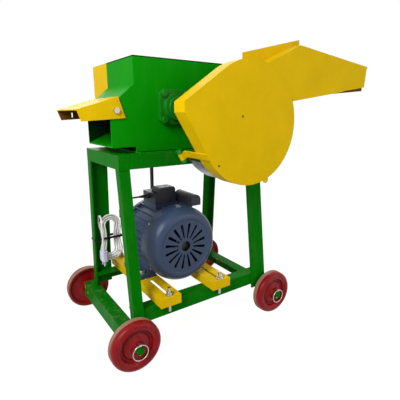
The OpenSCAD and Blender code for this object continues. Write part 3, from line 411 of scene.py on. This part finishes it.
class CUTTER_OT_finishes(bpy.types.Operator):
    """Makes the finishes and gives every node its own"""

    bl_idname = "cutter.finishes"
    bl_label = "Finishes"

    def execute(self, context):
        pick = context.scene.cutter_finish
        stand_colour_shaded = tuple(pick.stand_paint_and_shade)
        yellow = tuple(pick.yellow)
        primer = linear("#7E8A78")
        brown = linear("#8A6A20")
        # The centres of the painted shade inside the box, the hood and the chute
        box_middle = (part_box("box_front")[0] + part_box("box_rear")[1]) / 2
        box_middle.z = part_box("mouth_roof")[0].z - MOUTH_DROP
        hood_middle = (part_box("hood")[0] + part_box("hood")[1]) / 2
        hood_middle.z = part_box("hood")[0].z
        chute_middle = (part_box("chute")[0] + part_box("chute")[1]) / 2
        # Thick enamel on folded sheet: an even strong green outside, with painted shade inside
        enamel("green enamel", tuple(pick.green), linear("#3F5A3A"), roughness=0.36, dust=0.02,
               painted_shade=(linear(GREEN_PAINTED_SHADE), box_middle, ANYWHERE))
        # The same paint over rough sand-cast iron: darker, with a coarse skin that catches the light
        enamel("cast enamel", tuple(pick.green_cast), primer, roughness=0.34, dust=0.02, gloss=0.5,
               peel_mm=3.2, peel=0.5)
        # A thinner, dirtier coat on the hot-rolled angle of the stand; its darker green is partly its own
        # paint and partly painted shade on the low frame
        enamel("stand enamel", stand_colour_shaded, linear("#8F8A50"), roughness=0.38, dust=0.05, chip_mm=3.0)
        # The wheel beams stand lowest, so mud and stones have taken more of their paint
        enamel("scuffed enamel", stand_colour_shaded, linear("#A58B3C"), roughness=0.45, dust=0.3,
               chip_mm=1.6, chips=0.4)
        # The top plate is dark, dead matt green: painted shade along the box's top edge
        enamel("painted top shade", tuple(pick.top_plate_shade), primer, roughness=0.6, dust=0.04, gloss=0.0)
        # Yellow covers thinly, so it looks a little uneven and duller than the green
        enamel("yellow enamel", yellow, brown, roughness=0.4, dust=0.02, peel_mm=2.6)
        # The hood and the chute are yellow outside; inside, a dark brown paints their shade and the hood's
        # bare steel
        enamel("hood enamel", yellow, brown, roughness=0.4, dust=0.02, peel_mm=2.6,
               painted_shade=(linear(BROWN_SHADE_AND_BARE_STEEL), hood_middle, ANYWHERE))
        enamel("chute enamel", yellow, brown, roughness=0.4, dust=0.02, peel_mm=2.6,
               painted_shade=(linear(BROWN_SHADE_AND_BARE_STEEL), chute_middle, at(CHUTE_SHADE_X, 0, 0).x))
        # Stoved motor paint with a hammered skin and a clear sheen
        enamel("motor enamel", tuple(pick.motor), linear("#8C919B"), roughness=0.34, dust=0.02, gloss=0.25,
               peel_mm=1.6, chip_mm=1.2)
        # Dipped red on the pressed wheels: a soft sheen under road dust, with small chips
        enamel("red enamel", tuple(pick.red), linear("#3E1613"), roughness=0.34, dust=0.08, gloss=0.16,
               peel_mm=2.4, chip_mm=1.4, chips=0.1)
        # Moulded boxes, lid and fan: fine matt spark grain
        moulded("black ABS", linear("#24272F"), roughness=0.42, grain_mm=0.9, dust=0.12)
        # Zinc plate with a pale passivated film: bright but cloudy
        plated("zinc plate", "#B4AFA4", roughness=0.36, cell_mm=6.0, contrast=0.12)
        # Turned and ground steel, bare and a little oily: a clean grey with fine tool marks
        plated("turned steel", "#8E8E89", roughness=0.38, cell_mm=9.0, contrast=0.08)
        # The motor's shaft is a dark steel grey: painted shade in the cowl's centre hole
        plated("shaded shaft steel", "#55534E", roughness=0.5, cell_mm=9.0, contrast=0.08)
        # Cast iron straight from the sand, blackened: rough and nearly without shine
        moulded("cast iron", linear("#34373A"), roughness=0.58, grain_mm=1.8, dust=0.1)
        # Hot-dipped sheet shows zinc crystals about a centimetre across
        plated("galvanised sheet", "#B4BCBE", roughness=0.42, cell_mm=11.0, contrast=0.2)
        # Vulcanised tan rubber, dusty where it has rolled
        moulded("tan tread", tuple(pick.tread), roughness=0.78, grain_mm=1.4, dust=0.35)
        # Rubber wrapped in cloth: dull black with cross ribs
        ribbed_rubber("belt rubber", "#16171A", rib_mm=3.0)
        # Soft extruded sheath: black with a low satin shine
        moulded("black PVC", linear("#15161A"), roughness=0.45, grain_mm=0.8, dust=0.08)
        # The same sheath in off-white, a little soiled by handling
        moulded("pale PVC", tuple(pick.pale_cord), roughness=0.42, grain_mm=0.8, dust=0.1)
        # Hard moulded plug: smoother and cooler than its cord
        moulded("plug plastic", tuple(pick.plug), roughness=0.32, grain_mm=0.9, dust=0.06)
        for finish, names in WEARS.items():
            for name in names:
                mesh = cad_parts[name].data
                mesh.materials.clear()
                mesh.materials.append(FINISHES[finish])
        return {"FINISHED"}


# Cords, in millimetres of the drawing

# The hank: the middle of its loops, the Y of its two layers, the length of its straight runs, the radius of
# its inmost fold, the step from loop to loop, the loops of a layer, and how far the tie draws the runs in
HANK_X = -190.0
HANK_Z = 270.0
HANK_Y1 = 132.8
HANK_Y0 = HANK_Y1 - MAINS_D - 0.8
HANK_RUN = 90.0
HANK_INNER = 3 * MAINS_D
HANK_STEP = MAINS_D + 2.5
HANK_LOOPS = 3
WAIST = 0.8
# Points on each loop, and on each step of a smoothed route
LOOP_POINTS = 48
ROUTE_POINTS = 4
# A loop has four parts, down, round, up and round again, and the hank ends one part short of its last loop
LOOP_PARTS = 4
LAST_PART = 1 / LOOP_PARTS
# Keeps a part's first point from counting to the part before it through rounding
ROUNDING = 0.001
# The joint between the lead and the mains cord: its height over the hank's runs, and its length
JOINT_RISE = 18.0
JOINT_LENGTH = 28.0
# Where the lead leaves the terminal box, and where the cord enters the plug
GLAND = (-107.0, 10.0, 425.0)
PLUG = (-230.5, 88.5, 250.0)


def hank_point(turns):
    """A point of the hank after so many loops: inwards in the front layer, then outwards in the back one."""
    if turns < HANK_LOOPS:
        grown = HANK_LOOPS - turns
    else:
        grown = max(0.0, turns - HANK_LOOPS - LAST_PART)
    radius = HANK_INNER + HANK_STEP * grown
    part = math.floor((turns % 1) * LOOP_PARTS + ROUNDING)
    along = (turns % 1) * LOOP_PARTS - part
    crossed = min(1.0, max(0.0, (turns - HANK_LOOPS) * LOOP_PARTS))
    y = HANK_Y0 + (HANK_Y1 - HANK_Y0) * crossed
    drawn_in = radius * (1 - (1 - WAIST) * math.sin(math.pi * along))
    swing = math.pi * along
    end = HANK_RUN / 2
    if part == 0:
        return (HANK_X + drawn_in, y, HANK_Z + end - HANK_RUN * along)
    if part == 1:
        return (HANK_X + radius * math.cos(swing), y, HANK_Z - end - radius * math.sin(swing))
    if part == 2:
        return (HANK_X - drawn_in, y, HANK_Z - end + HANK_RUN * along)
    return (HANK_X - radius * math.cos(swing), y, HANK_Z + end + radius * math.sin(swing))


def smooth(points):
    """More points on a smooth curve through the given ones."""
    ring = [points[0], *points, points[-1]]
    out = []
    for i in range(1, len(ring) - 2):
        a, b, c, d = (Vector(ring[i + k]) for k in (-1, 0, 1, 2))
        for k in range(ROUTE_POINTS):
            t = k / ROUTE_POINTS
            out.append(0.5 * (2 * b + (c - a) * t + (2 * a - 5 * b + 4 * c - d) * t * t
                              + (3 * b - a - 3 * c + d) * t ** 3))
    out.append(Vector(points[-1]))
    return out


def shifted(point, x, y, z):
    """A point moved by a step."""
    return (point[0] + x, point[1] + y, point[2] + z)


HANK = [hank_point(i / LOOP_POINTS) for i in range(int(LOOP_POINTS * (2 * HANK_LOOPS - LAST_PART)) + 1)]
JOINT_LOW = (HANK[0][0], HANK[0][1], HANK_Z + HANK_RUN / 2 + JOINT_RISE)
JOINT_TOP = shifted(JOINT_LOW, 0, 0, JOINT_LENGTH)
# The mains cord drops from the joint into the hank
JOINT_DROP = [JOINT_LOW, shifted(JOINT_LOW, 0, 0, -7), shifted(JOINT_LOW, 0, 0, -13)]
# From the hank's end the tail rises, arches forwards in these steps, and hangs straight down to the plug
TAIL_RISE = shifted(HANK[-1], 0, 0, 5)
TAIL_FROM = shifted(HANK[-1], 0, 0, 11)
TAIL_ARCH = [(0, 0, 0), (0, 0, 6), (0, -2, 14), (-0.5, -8, 22), (-1, -17, 27), (-2, -27, 27), (-3, -36, 22)]
TAIL_DROP = [3, -12, -27, -42]
TAIL = [shifted(TAIL_FROM, *step) for step in TAIL_ARCH]
TAIL.append((PLUG[0], PLUG[1] + 1, TAIL_FROM[2] + 14))
TAIL.extend((PLUG[0], PLUG[1], TAIL_FROM[2] + height) for height in TAIL_DROP)
TAIL.extend([shifted(PLUG, 0, 0, 6), PLUG])
# The lead runs straight out of the gland, bends back in these steps, and drops to the joint from its front
LEAD_OUT = [(0, 0, 0), (-12, 0, 0), (-24, 0, 0), (-37, 4, -1), (-46, 14, -3), (-51, 28, -6), (-52, 46, -11),
            (-50, 66, -18), (-46, 86, -28)]
LEAD_DOWN = [(0, -13, 26), (0, -3, 15), (0, 0, 7), (0, 0, 0)]
LEAD = [shifted(GLAND, *step) for step in LEAD_OUT] + [shifted(JOINT_TOP, *step) for step in LEAD_DOWN]


def cord_curve(name, route, diameter, finish):
    """A round sheath along a route of the machine's drawing."""
    line = bpy.data.curves.new(name, "CURVE")
    line.dimensions = "3D"
    line.bevel_depth = diameter / 2
    line.bevel_resolution = 4
    line.use_fill_caps = True
    spline = line.splines.new("POLY")
    spline.points.add(len(route) - 1)
    for point, place in zip(spline.points, route):
        point.co = (*at(*place), 1.0)
    spline.use_smooth = True
    line.materials.append(FINISHES[finish])
    piece = bpy.data.objects.new(name, line)
    bpy.context.scene.collection.objects.link(piece)
    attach(piece, "stand")
    return piece


class CUTTER_OT_mains_cord(bpy.types.Operator):
    """The pale mains cord: a hank tied to the far leg, and the tail that hangs to the plug"""

    bl_idname = "cutter.mains_cord"
    bl_label = "Mains cord"

    def execute(self, context):
        diameter = context.scene.cutter_sizes.mains_d
        route = [*JOINT_DROP, *HANK, TAIL_RISE, *smooth(TAIL)]
        piece = cord_curve("mains_cord", route, diameter, "pale PVC")
        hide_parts("mains_hank", "plug_tail")
        return {"FINISHED"}


class CUTTER_OT_motor_lead(bpy.types.Operator):
    """The black lead from the terminal box to the joint above the hank"""

    bl_idname = "cutter.motor_lead"
    bl_label = "Motor lead"

    def execute(self, context):
        diameter = context.scene.cutter_sizes.lead_d
        route = smooth(LEAD)
        piece = cord_curve("black_lead", route, diameter, "black PVC")
        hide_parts("motor_lead")
        return {"FINISHED"}


# Small fittings, in metres

# A face whose normal has this much of an axis in it faces along the axis
FACING = 0.9
# Edges sharper than this stay sharp when a fitting is smoothed
SHARP = math.radians(38)
# How far a fitting's seat is sunk in a flat face, and in the round cowl
SEAT_SINK = 0.0001
ROUND_SEAT_SINK = 0.0002
FORWARDS = (0, -1, 0)
UPWARDS = (0, 0, 1)

# A screw's head in parts of its radius: height, rounding of its edge, rim round the socket, its depth
PAN_HEIGHT = 0.6
PAN_ROUNDING = 0.18
PAN_RIM = 0.34
PAN_SOCKET = 0.3
# A rivet in parts of its radius: height of the dome, thickness and radius of the collar
DOME_HEIGHT = 0.55
COLLAR_THICKNESS = 0.12
COLLAR_RADIUS = 1.2


def deselect():
    """Leaves nothing selected, in object mode."""
    if bpy.context.mode != "OBJECT":
        bpy.ops.object.mode_set(mode="OBJECT")
    bpy.ops.object.select_all(action="DESELECT")


def pick_faces(piece, test):
    """In edit mode, selects the faces that pass a test."""
    bpy.context.tool_settings.mesh_select_mode = (False, False, True)
    bpy.ops.mesh.select_all(action="DESELECT")
    bpy.ops.object.mode_set(mode="OBJECT")
    for face in piece.data.polygons:
        face.select = test(face)
    bpy.ops.object.mode_set(mode="EDIT")


def looks_up(face):
    """True for a face that points along +Z."""
    return face.normal.z > FACING


def lie_along(axis, place):
    """The matrix that stands a fitting made along +Z on a place, along an axis."""
    turn = Vector(UPWARDS).rotation_difference(Vector(axis).normalized()).to_matrix().to_4x4()
    return Matrix.Translation(place) @ turn


def on_front(points, y):
    """The matrices that stand fittings on a face that looks forwards, at points of the drawing."""
    matrices = []
    for x, z in points:
        spot = at(x, 0, z)
        matrices.append(lie_along(FORWARDS, Vector((spot.x, y + SEAT_SINK, spot.z))))
    return matrices


def set_out(model, name, matrices, body, finish):
    """Copies a fitting to its places, joins the copies to one piece and finishes it."""
    copies = []
    for matrix in matrices:
        copy = model.copy()
        copy.data = model.data.copy()
        bpy.context.scene.collection.objects.link(copy)
        copy.matrix_world = matrix
        copies.append(copy)
    bpy.data.objects.remove(model)
    deselect()
    for copy in copies:
        copy.select_set(True)
    bpy.context.view_layer.objects.active = copies[0]
    bpy.ops.object.transform_apply(location=True, rotation=True, scale=True)
    if len(copies) > 1:
        bpy.ops.object.join()
    piece = bpy.context.view_layer.objects.active
    piece.name = name
    piece.data.name = name
    piece.data.materials.clear()
    piece.data.materials.append(FINISHES[finish])
    bpy.ops.object.shade_smooth_by_angle(angle=SHARP)
    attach(piece, body)


def pan_screw(radius):
    """A pan-head screw with a round socket, its seat at the origin."""
    deselect()
    height = radius * PAN_HEIGHT
    bpy.ops.mesh.primitive_cylinder_add(vertices=24, radius=radius, depth=height, location=(0, 0, height / 2))
    piece = bpy.context.object
    bpy.ops.object.mode_set(mode="EDIT")
    pick_faces(piece, looks_up)
    bpy.ops.mesh.bevel(offset=radius * PAN_ROUNDING, segments=3, affect="EDGES")
    # The flat top is larger than any face of the rounding
    pick_faces(piece, lambda face: looks_up(face) and face.area > radius * radius)
    bpy.ops.mesh.inset(thickness=radius * PAN_RIM)
    bpy.ops.mesh.extrude_region_move(TRANSFORM_OT_translate={"value": (0, 0, -radius * PAN_SOCKET)})
    bpy.ops.object.mode_set(mode="OBJECT")
    return piece


def dome_rivet(radius):
    """A dome rivet with a thin collar, its seat at the origin."""
    deselect()
    bpy.ops.mesh.primitive_uv_sphere_add(segments=24, ring_count=12, radius=radius, location=(0, 0, 0))
    piece = bpy.context.object
    bpy.ops.object.mode_set(mode="EDIT")
    bpy.ops.mesh.select_all(action="SELECT")
    bpy.ops.mesh.bisect(plane_co=(0, 0, 0), plane_no=UPWARDS, clear_inner=True, use_fill=True)
    bpy.ops.mesh.select_all(action="SELECT")
    bpy.ops.transform.resize(value=(1, 1, DOME_HEIGHT))
    pick_faces(piece, lambda face: face.normal.z < -FACING)
    bpy.ops.mesh.extrude_region_move(TRANSFORM_OT_translate={"value": (0, 0, -radius * COLLAR_THICKNESS)})
    bpy.ops.transform.resize(value=(COLLAR_RADIUS, COLLAR_RADIUS, 1))
    bpy.ops.object.mode_set(mode="OBJECT")
    low = min(v.co.z for v in piece.data.vertices)
    piece.location.z = -low
    bpy.ops.object.transform_apply(location=True)
    return piece


def rippled_rod(radius, length, ripples, narrow, taper):
    """A rod along Z from the origin whose rings swell and shrink, as a weld bead or a ribbed sleeve does.

    Between its ripples it narrows to a part of its radius, and it tapers to a part of it at its end.
    """
    deselect()
    bpy.ops.mesh.primitive_cone_add(vertices=16, radius1=radius, radius2=radius * taper, depth=length,
                                    location=(0, 0, length / 2))
    piece = bpy.context.object
    bpy.ops.object.transform_apply(location=True)
    bpy.ops.object.mode_set(mode="EDIT")
    rings = 2 * ripples
    for i in range(1, rings):
        bpy.ops.mesh.select_all(action="SELECT")
        bpy.ops.mesh.bisect(plane_co=(0, 0, length * i / rings), plane_no=UPWARDS)
    bpy.ops.object.mode_set(mode="OBJECT")
    step = length / rings
    for vertex in piece.data.vertices:
        vertex.select = round(vertex.co.z / step) % 2 == 1
    bpy.context.tool_settings.mesh_select_mode = (True, False, False)
    bpy.ops.object.mode_set(mode="EDIT")
    bpy.ops.transform.resize(value=(narrow, narrow, 1), center_override=(0, 0, length / 2))
    bpy.ops.object.mode_set(mode="OBJECT")
    return piece


class CUTTER_OT_relief(bpy.types.Operator):
    """Tapered ribbed sleeve where the lead leaves the gland"""

    bl_idname = "cutter.relief"
    bl_label = "Strain relief"

    def execute(self, context):
        pick = context.scene.cutter_sizes
        model = rippled_rod(pick.relief_r, pick.relief_length, ripples=5, narrow=0.88, taper=0.62)
        gland = lie_along((-1, 0, 0), at(*GLAND))
        set_out(model, "lead_relief", [gland], "stand", "black PVC")
        return {"FINISHED"}


# The cowl's screws: their Y in the drawing, and their angles round the motor in degrees
COWL_SCREW_Y = -78
COWL_SCREW_ANGLES = (38, 142, 218, 322)
# How far the terminal lid's screws are in from its ends and from its sides
LID_SCREW_X = 0.018
LID_SCREW_Y = 0.008


class CUTTER_OT_screws(bpy.types.Operator):
    """Screws round the fan cowl's skirt and on the terminal box's lid"""

    bl_idname = "cutter.screws"
    bl_label = "Motor screws"

    def execute(self, context):
        radius = context.scene.cutter_sizes.screw_r
        skirt = (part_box("fan_cowl")[1].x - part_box("fan_cowl")[0].x) / 2
        centre = at(MOTOR_AXIS[0], COWL_SCREW_Y, MOTOR_AXIS[1])
        round_cowl = []
        for degrees in COWL_SCREW_ANGLES:
            angle = math.radians(degrees)
            way = Vector((math.cos(angle), 0, math.sin(angle)))
            round_cowl.append(lie_along(way, centre + way * (skirt - ROUND_SEAT_SINK)))
        set_out(pan_screw(radius), "cowl_screws", round_cowl, "stand", "zinc plate")
        low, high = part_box("terminal_lid")
        on_lid = []
        for x in (low.x + LID_SCREW_X, high.x - LID_SCREW_X):
            for y in (low.y + LID_SCREW_Y, high.y - LID_SCREW_Y):
                on_lid.append(lie_along(UPWARDS, Vector((x, y, high.z - SEAT_SINK))))
        set_out(pan_screw(radius), "terminal_screws", on_lid, "stand", "zinc plate")
        return {"FINISHED"}


# X and Z in the drawing of the cover's rivets and of the screws on the chute's back strip
COVER_RIVETS = ((64, 674), (-15.7, 545.3))
CHUTE_SCREWS = ((154.8, 842), (272.9, 869))
# The strip's face lies this far before the cover's rear edge
STRIP_THICKNESS = 0.003


class CUTTER_OT_rivets(bpy.types.Operator):
    """Rivets on the round cover and screws on the chute's back strip"""

    bl_idname = "cutter.rivets"
    bl_label = "Rivets"

    def execute(self, context):
        radius = context.scene.cutter_sizes.rivet_r
        low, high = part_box("lid")
        on_cover = on_front(COVER_RIVETS, low.y)
        set_out(dome_rivet(radius), "cover_rivets", on_cover, "lid_body", "cast iron")
        on_strip = on_front(CHUTE_SCREWS, high.y - STRIP_THICKNESS)
        set_out(pan_screw(radius), "chute_screws", on_strip, "lid_body", "yellow enamel")
        return {"FINISHED"}


# The nipples point up to the left, stand this far out from the shafts' axes, and are this far in from the
# bearings' outer faces
NIPPLE_WAY = Vector((-0.5, 0, 0.866))
NIPPLE_OUT = 0.0355
NIPPLE_IN = 0.019


class CUTTER_OT_nipples(bpy.types.Operator):
    """Grease nipples on the four bearings"""

    bl_idname = "cutter.nipples"
    bl_label = "Grease nipples"

    def execute(self, context):
        pick = context.scene.cutter_sizes
        low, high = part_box("flange_bearings")
        places = []
        for x, z in (KNIFE_AXIS, THROWER_AXIS):
            hub = at(x, 0, z)
            for y in (low.y + NIPPLE_IN, high.y - NIPPLE_IN):
                places.append(lie_along(NIPPLE_WAY, Vector((hub.x, y, hub.z)) + NIPPLE_WAY * NIPPLE_OUT))
        model = rippled_rod(pick.nipple_r, pick.nipple_length, ripples=2, narrow=0.7, taper=0.75)
        set_out(model, "grease_nipples", places, "stand", "cast enamel")
        return {"FINISHED"}


# Lengths of the legs' welds along X, and how far a bead stops short of each end
WELD_NEAR_LEFT = 0.03
WELD_NEAR_RIGHT = 0.062
WELD_FAR_LEFT = 0.062
WELD_FAR_RIGHT = 0.04
WELD_SHORT = 0.002


class CUTTER_OT_welds(bpy.types.Operator):
    """Weld beads under the long top rails, where the legs meet them"""

    bl_idname = "cutter.welds"
    bl_label = "Weld beads"

    def execute(self, context):
        radius = context.scene.cutter_sizes.bead_r
        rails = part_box("top_rails_long")
        near = rails[0].y
        far = rails[1].y
        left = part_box("legs_near")[0].x
        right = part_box("legs_near")[1].x
        runs = [(left, left + WELD_NEAR_LEFT, near), (right - WELD_NEAR_RIGHT, right, near),
                (left, left + WELD_FAR_LEFT, far), (right - WELD_FAR_RIGHT, right, far)]
        for index, (start, end, y) in enumerate(runs):
            model = rippled_rod(radius, end - start - 2 * WELD_SHORT, ripples=7, narrow=0.86, taper=1.0)
            place = lie_along((1, 0, 0), Vector((start + WELD_SHORT, y, rails[0].z)))
            set_out(model, f"leg_weld_{index + 1}", [place], "stand", "stand enamel")
        return {"FINISHED"}


# Stage, in metres

FLOOR_SIZE = 14
# The part of the floor's look that is plain white, and its strength: the rest is lit and keeps the shadow
FLOOR_PLAIN = 0.88
FLOOR_GLOW = 1.085
# The floor's colour where it is seen, and where it throws light up under the machine
FLOOR_SEEN = "#F6F6F4"
FLOOR_BOUNCE = "#B4B4B0"
WHITE = (1, 1, 1, 1)
# Where the lamps stand, how wide they are, and what they are aimed at
KEY_PLACE = (-1.75, -0.8, 1.6)
KEY_WIDTH = 0.9
FILL_PLACE = (1.6, -2.4, 1.3)
FILL_WIDTH = 2.2
BACK_PLACE = (0.7, 2.2, 1.7)
BACK_WIDTH = 2.0
LAMP_AIM = Vector((-0.1, -0.05, 0.45))
# The camera's place in the drawing, and its turn in degrees: down from level, and about the vertical
CAMERA_PLACE = (-583.0, -978.0, 681.0)
CAMERA_DOWN = 13.96
CAMERA_TURN = -34.78
# Millimetres across the camera's film
FILM_WIDTH = 36.0


def seen_directly(tree):
    """One for what the camera sees straight, in a reflection or through glass; nought for bounced light."""
    rays = add(tree, "ShaderNodeLightPath")
    mirror = add(tree, "ShaderNodeMath", {"operation": "MAXIMUM"},
                 links={0: rays.outputs["Is Glossy Ray"], 1: rays.outputs["Is Transmission Ray"]})
    seen = add(tree, "ShaderNodeMath", {"operation": "MAXIMUM"},
               links={0: rays.outputs["Is Camera Ray"], 1: mirror.outputs["Value"]})
    return seen.outputs["Value"]


def lay_floor():
    """A pale floor that looks white and keeps the machine's shadow."""
    deselect()
    bpy.ops.mesh.primitive_plane_add(size=FLOOR_SIZE, location=(0, 0, 0))
    floor = bpy.context.object
    floor.name = "floor"
    material = bpy.data.materials.new("pale floor")
    material.use_nodes = True
    tree = material.node_tree
    shader = tree.nodes["Principled BSDF"]
    shader.inputs["Roughness"].default_value = 0.9
    glow = add(tree, "ShaderNodeEmission", values={"Color": WHITE, "Strength": FLOOR_GLOW})
    seen = seen_directly(tree)
    tone = add(tree, "ShaderNodeMix", COLOURS, {MIX_A: linear(FLOOR_BOUNCE), MIX_B: linear(FLOOR_SEEN)},
               {"Factor": seen})
    tree.links.new(tone.outputs[MIX_OUT], shader.inputs["Base Color"])
    part = add(tree, "ShaderNodeMath", {"operation": "MULTIPLY"}, {1: FLOOR_PLAIN}, {0: seen})
    mix = add(tree, "ShaderNodeMixShader",
              links={0: part.outputs["Value"], 1: shader.outputs["BSDF"], 2: glow.outputs["Emission"]})
    tree.links.new(mix.outputs["Shader"], tree.nodes["Material Output"].inputs["Surface"])
    floor.data.materials.append(material)


def hang_sky(scene, strength):
    """A world that looks white and lights the machine evenly."""
    world = bpy.data.worlds.new("studio")
    scene.world = world
    world.use_nodes = True
    tree = world.node_tree
    back = tree.nodes["Background"]
    back.inputs["Color"].default_value = WHITE
    level = add(tree, "ShaderNodeMapRange", values={"To Min": strength}, links={"Value": seen_directly(tree)})
    tree.links.new(level.outputs["Result"], back.inputs["Strength"])


def lamp(name, place, width, power):
    """A square soft light aimed at the middle of the machine."""
    light = bpy.data.lights.new(name, "AREA")
    light.size = width
    light.energy = power
    piece = bpy.data.objects.new(name, light)
    bpy.context.scene.collection.objects.link(piece)
    piece.location = place
    aim = LAMP_AIM - Vector(place)
    piece.rotation_euler = aim.to_track_quat("-Z", "Y").to_euler()


def set_camera(scene, lens):
    """The camera at the photograph's angle."""
    eye = bpy.data.cameras.new("camera")
    eye.lens = lens
    eye.sensor_width = FILM_WIDTH
    camera = bpy.data.objects.new("camera", eye)
    scene.collection.objects.link(camera)
    camera.location = at(*CAMERA_PLACE)
    camera.rotation_euler = (math.radians(90 - CAMERA_DOWN), 0, math.radians(CAMERA_TURN))
    scene.camera = camera


class CUTTER_OT_stage(bpy.types.Operator):
    """Pale floor, soft lights and the camera"""

    bl_idname = "cutter.stage"
    bl_label = "Stage"

    def execute(self, context):
        pick = context.scene.cutter_stage
        lay_floor()
        hang_sky(context.scene, pick.sky)
        lamp("key", KEY_PLACE, KEY_WIDTH, pick.key)
        lamp("fill", FILL_PLACE, FILL_WIDTH, pick.fill)
        lamp("back", BACK_PLACE, BACK_WIDTH, pick.back)
        set_camera(context.scene, pick.lens)
        context.scene.view_settings.view_transform = "Standard"
        return {"FINISHED"}


STEPS = ("stage", "finishes", "mains_cord", "motor_lead", "relief", "screws", "rivets", "nipples", "welds")


class CUTTER_PT_panel(bpy.types.Panel):
    """Shows the dressing steps and their settings"""

    bl_idname = "CUTTER_PT_panel"
    bl_label = "Chaff cutter"
    bl_space_type = "VIEW_3D"
    bl_region_type = "UI"
    bl_category = "Chaff cutter"

    def draw(self, context):
        for step in STEPS:
            self.layout.operator("cutter." + step)
        for group in (context.scene.cutter_finish, context.scene.cutter_sizes, context.scene.cutter_stage):
            for name in group.bl_rna.properties.keys():
                if name not in ("rna_type", "name"):
                    self.layout.prop(group, name)


CLASSES = (CUTTER_PG_finish, CUTTER_PG_sizes, CUTTER_PG_stage, CUTTER_OT_stage, CUTTER_OT_finishes,
           CUTTER_OT_mains_cord, CUTTER_OT_motor_lead, CUTTER_OT_relief, CUTTER_OT_screws, CUTTER_OT_rivets,
           CUTTER_OT_nipples, CUTTER_OT_welds, CUTTER_PT_panel)


def register():
    """Registers the classes and the settings."""
    for item in CLASSES:
        bpy.utils.register_class(item)
    bpy.types.Scene.cutter_finish = bpy.props.PointerProperty(type=CUTTER_PG_finish)
    bpy.types.Scene.cutter_sizes = bpy.props.PointerProperty(type=CUTTER_PG_sizes)
    bpy.types.Scene.cutter_stage = bpy.props.PointerProperty(type=CUTTER_PG_stage)


def unregister():
    """Removes the settings and the classes."""
    del bpy.types.Scene.cutter_stage
    del bpy.types.Scene.cutter_sizes
    del bpy.types.Scene.cutter_finish
    for item in reversed(CLASSES):
        bpy.utils.unregister_class(item)


def main():
    """Dresses the machine."""
    register()
    for step in STEPS:
        getattr(bpy.ops.cutter, step)()


if __name__ == "__main__":
    main()
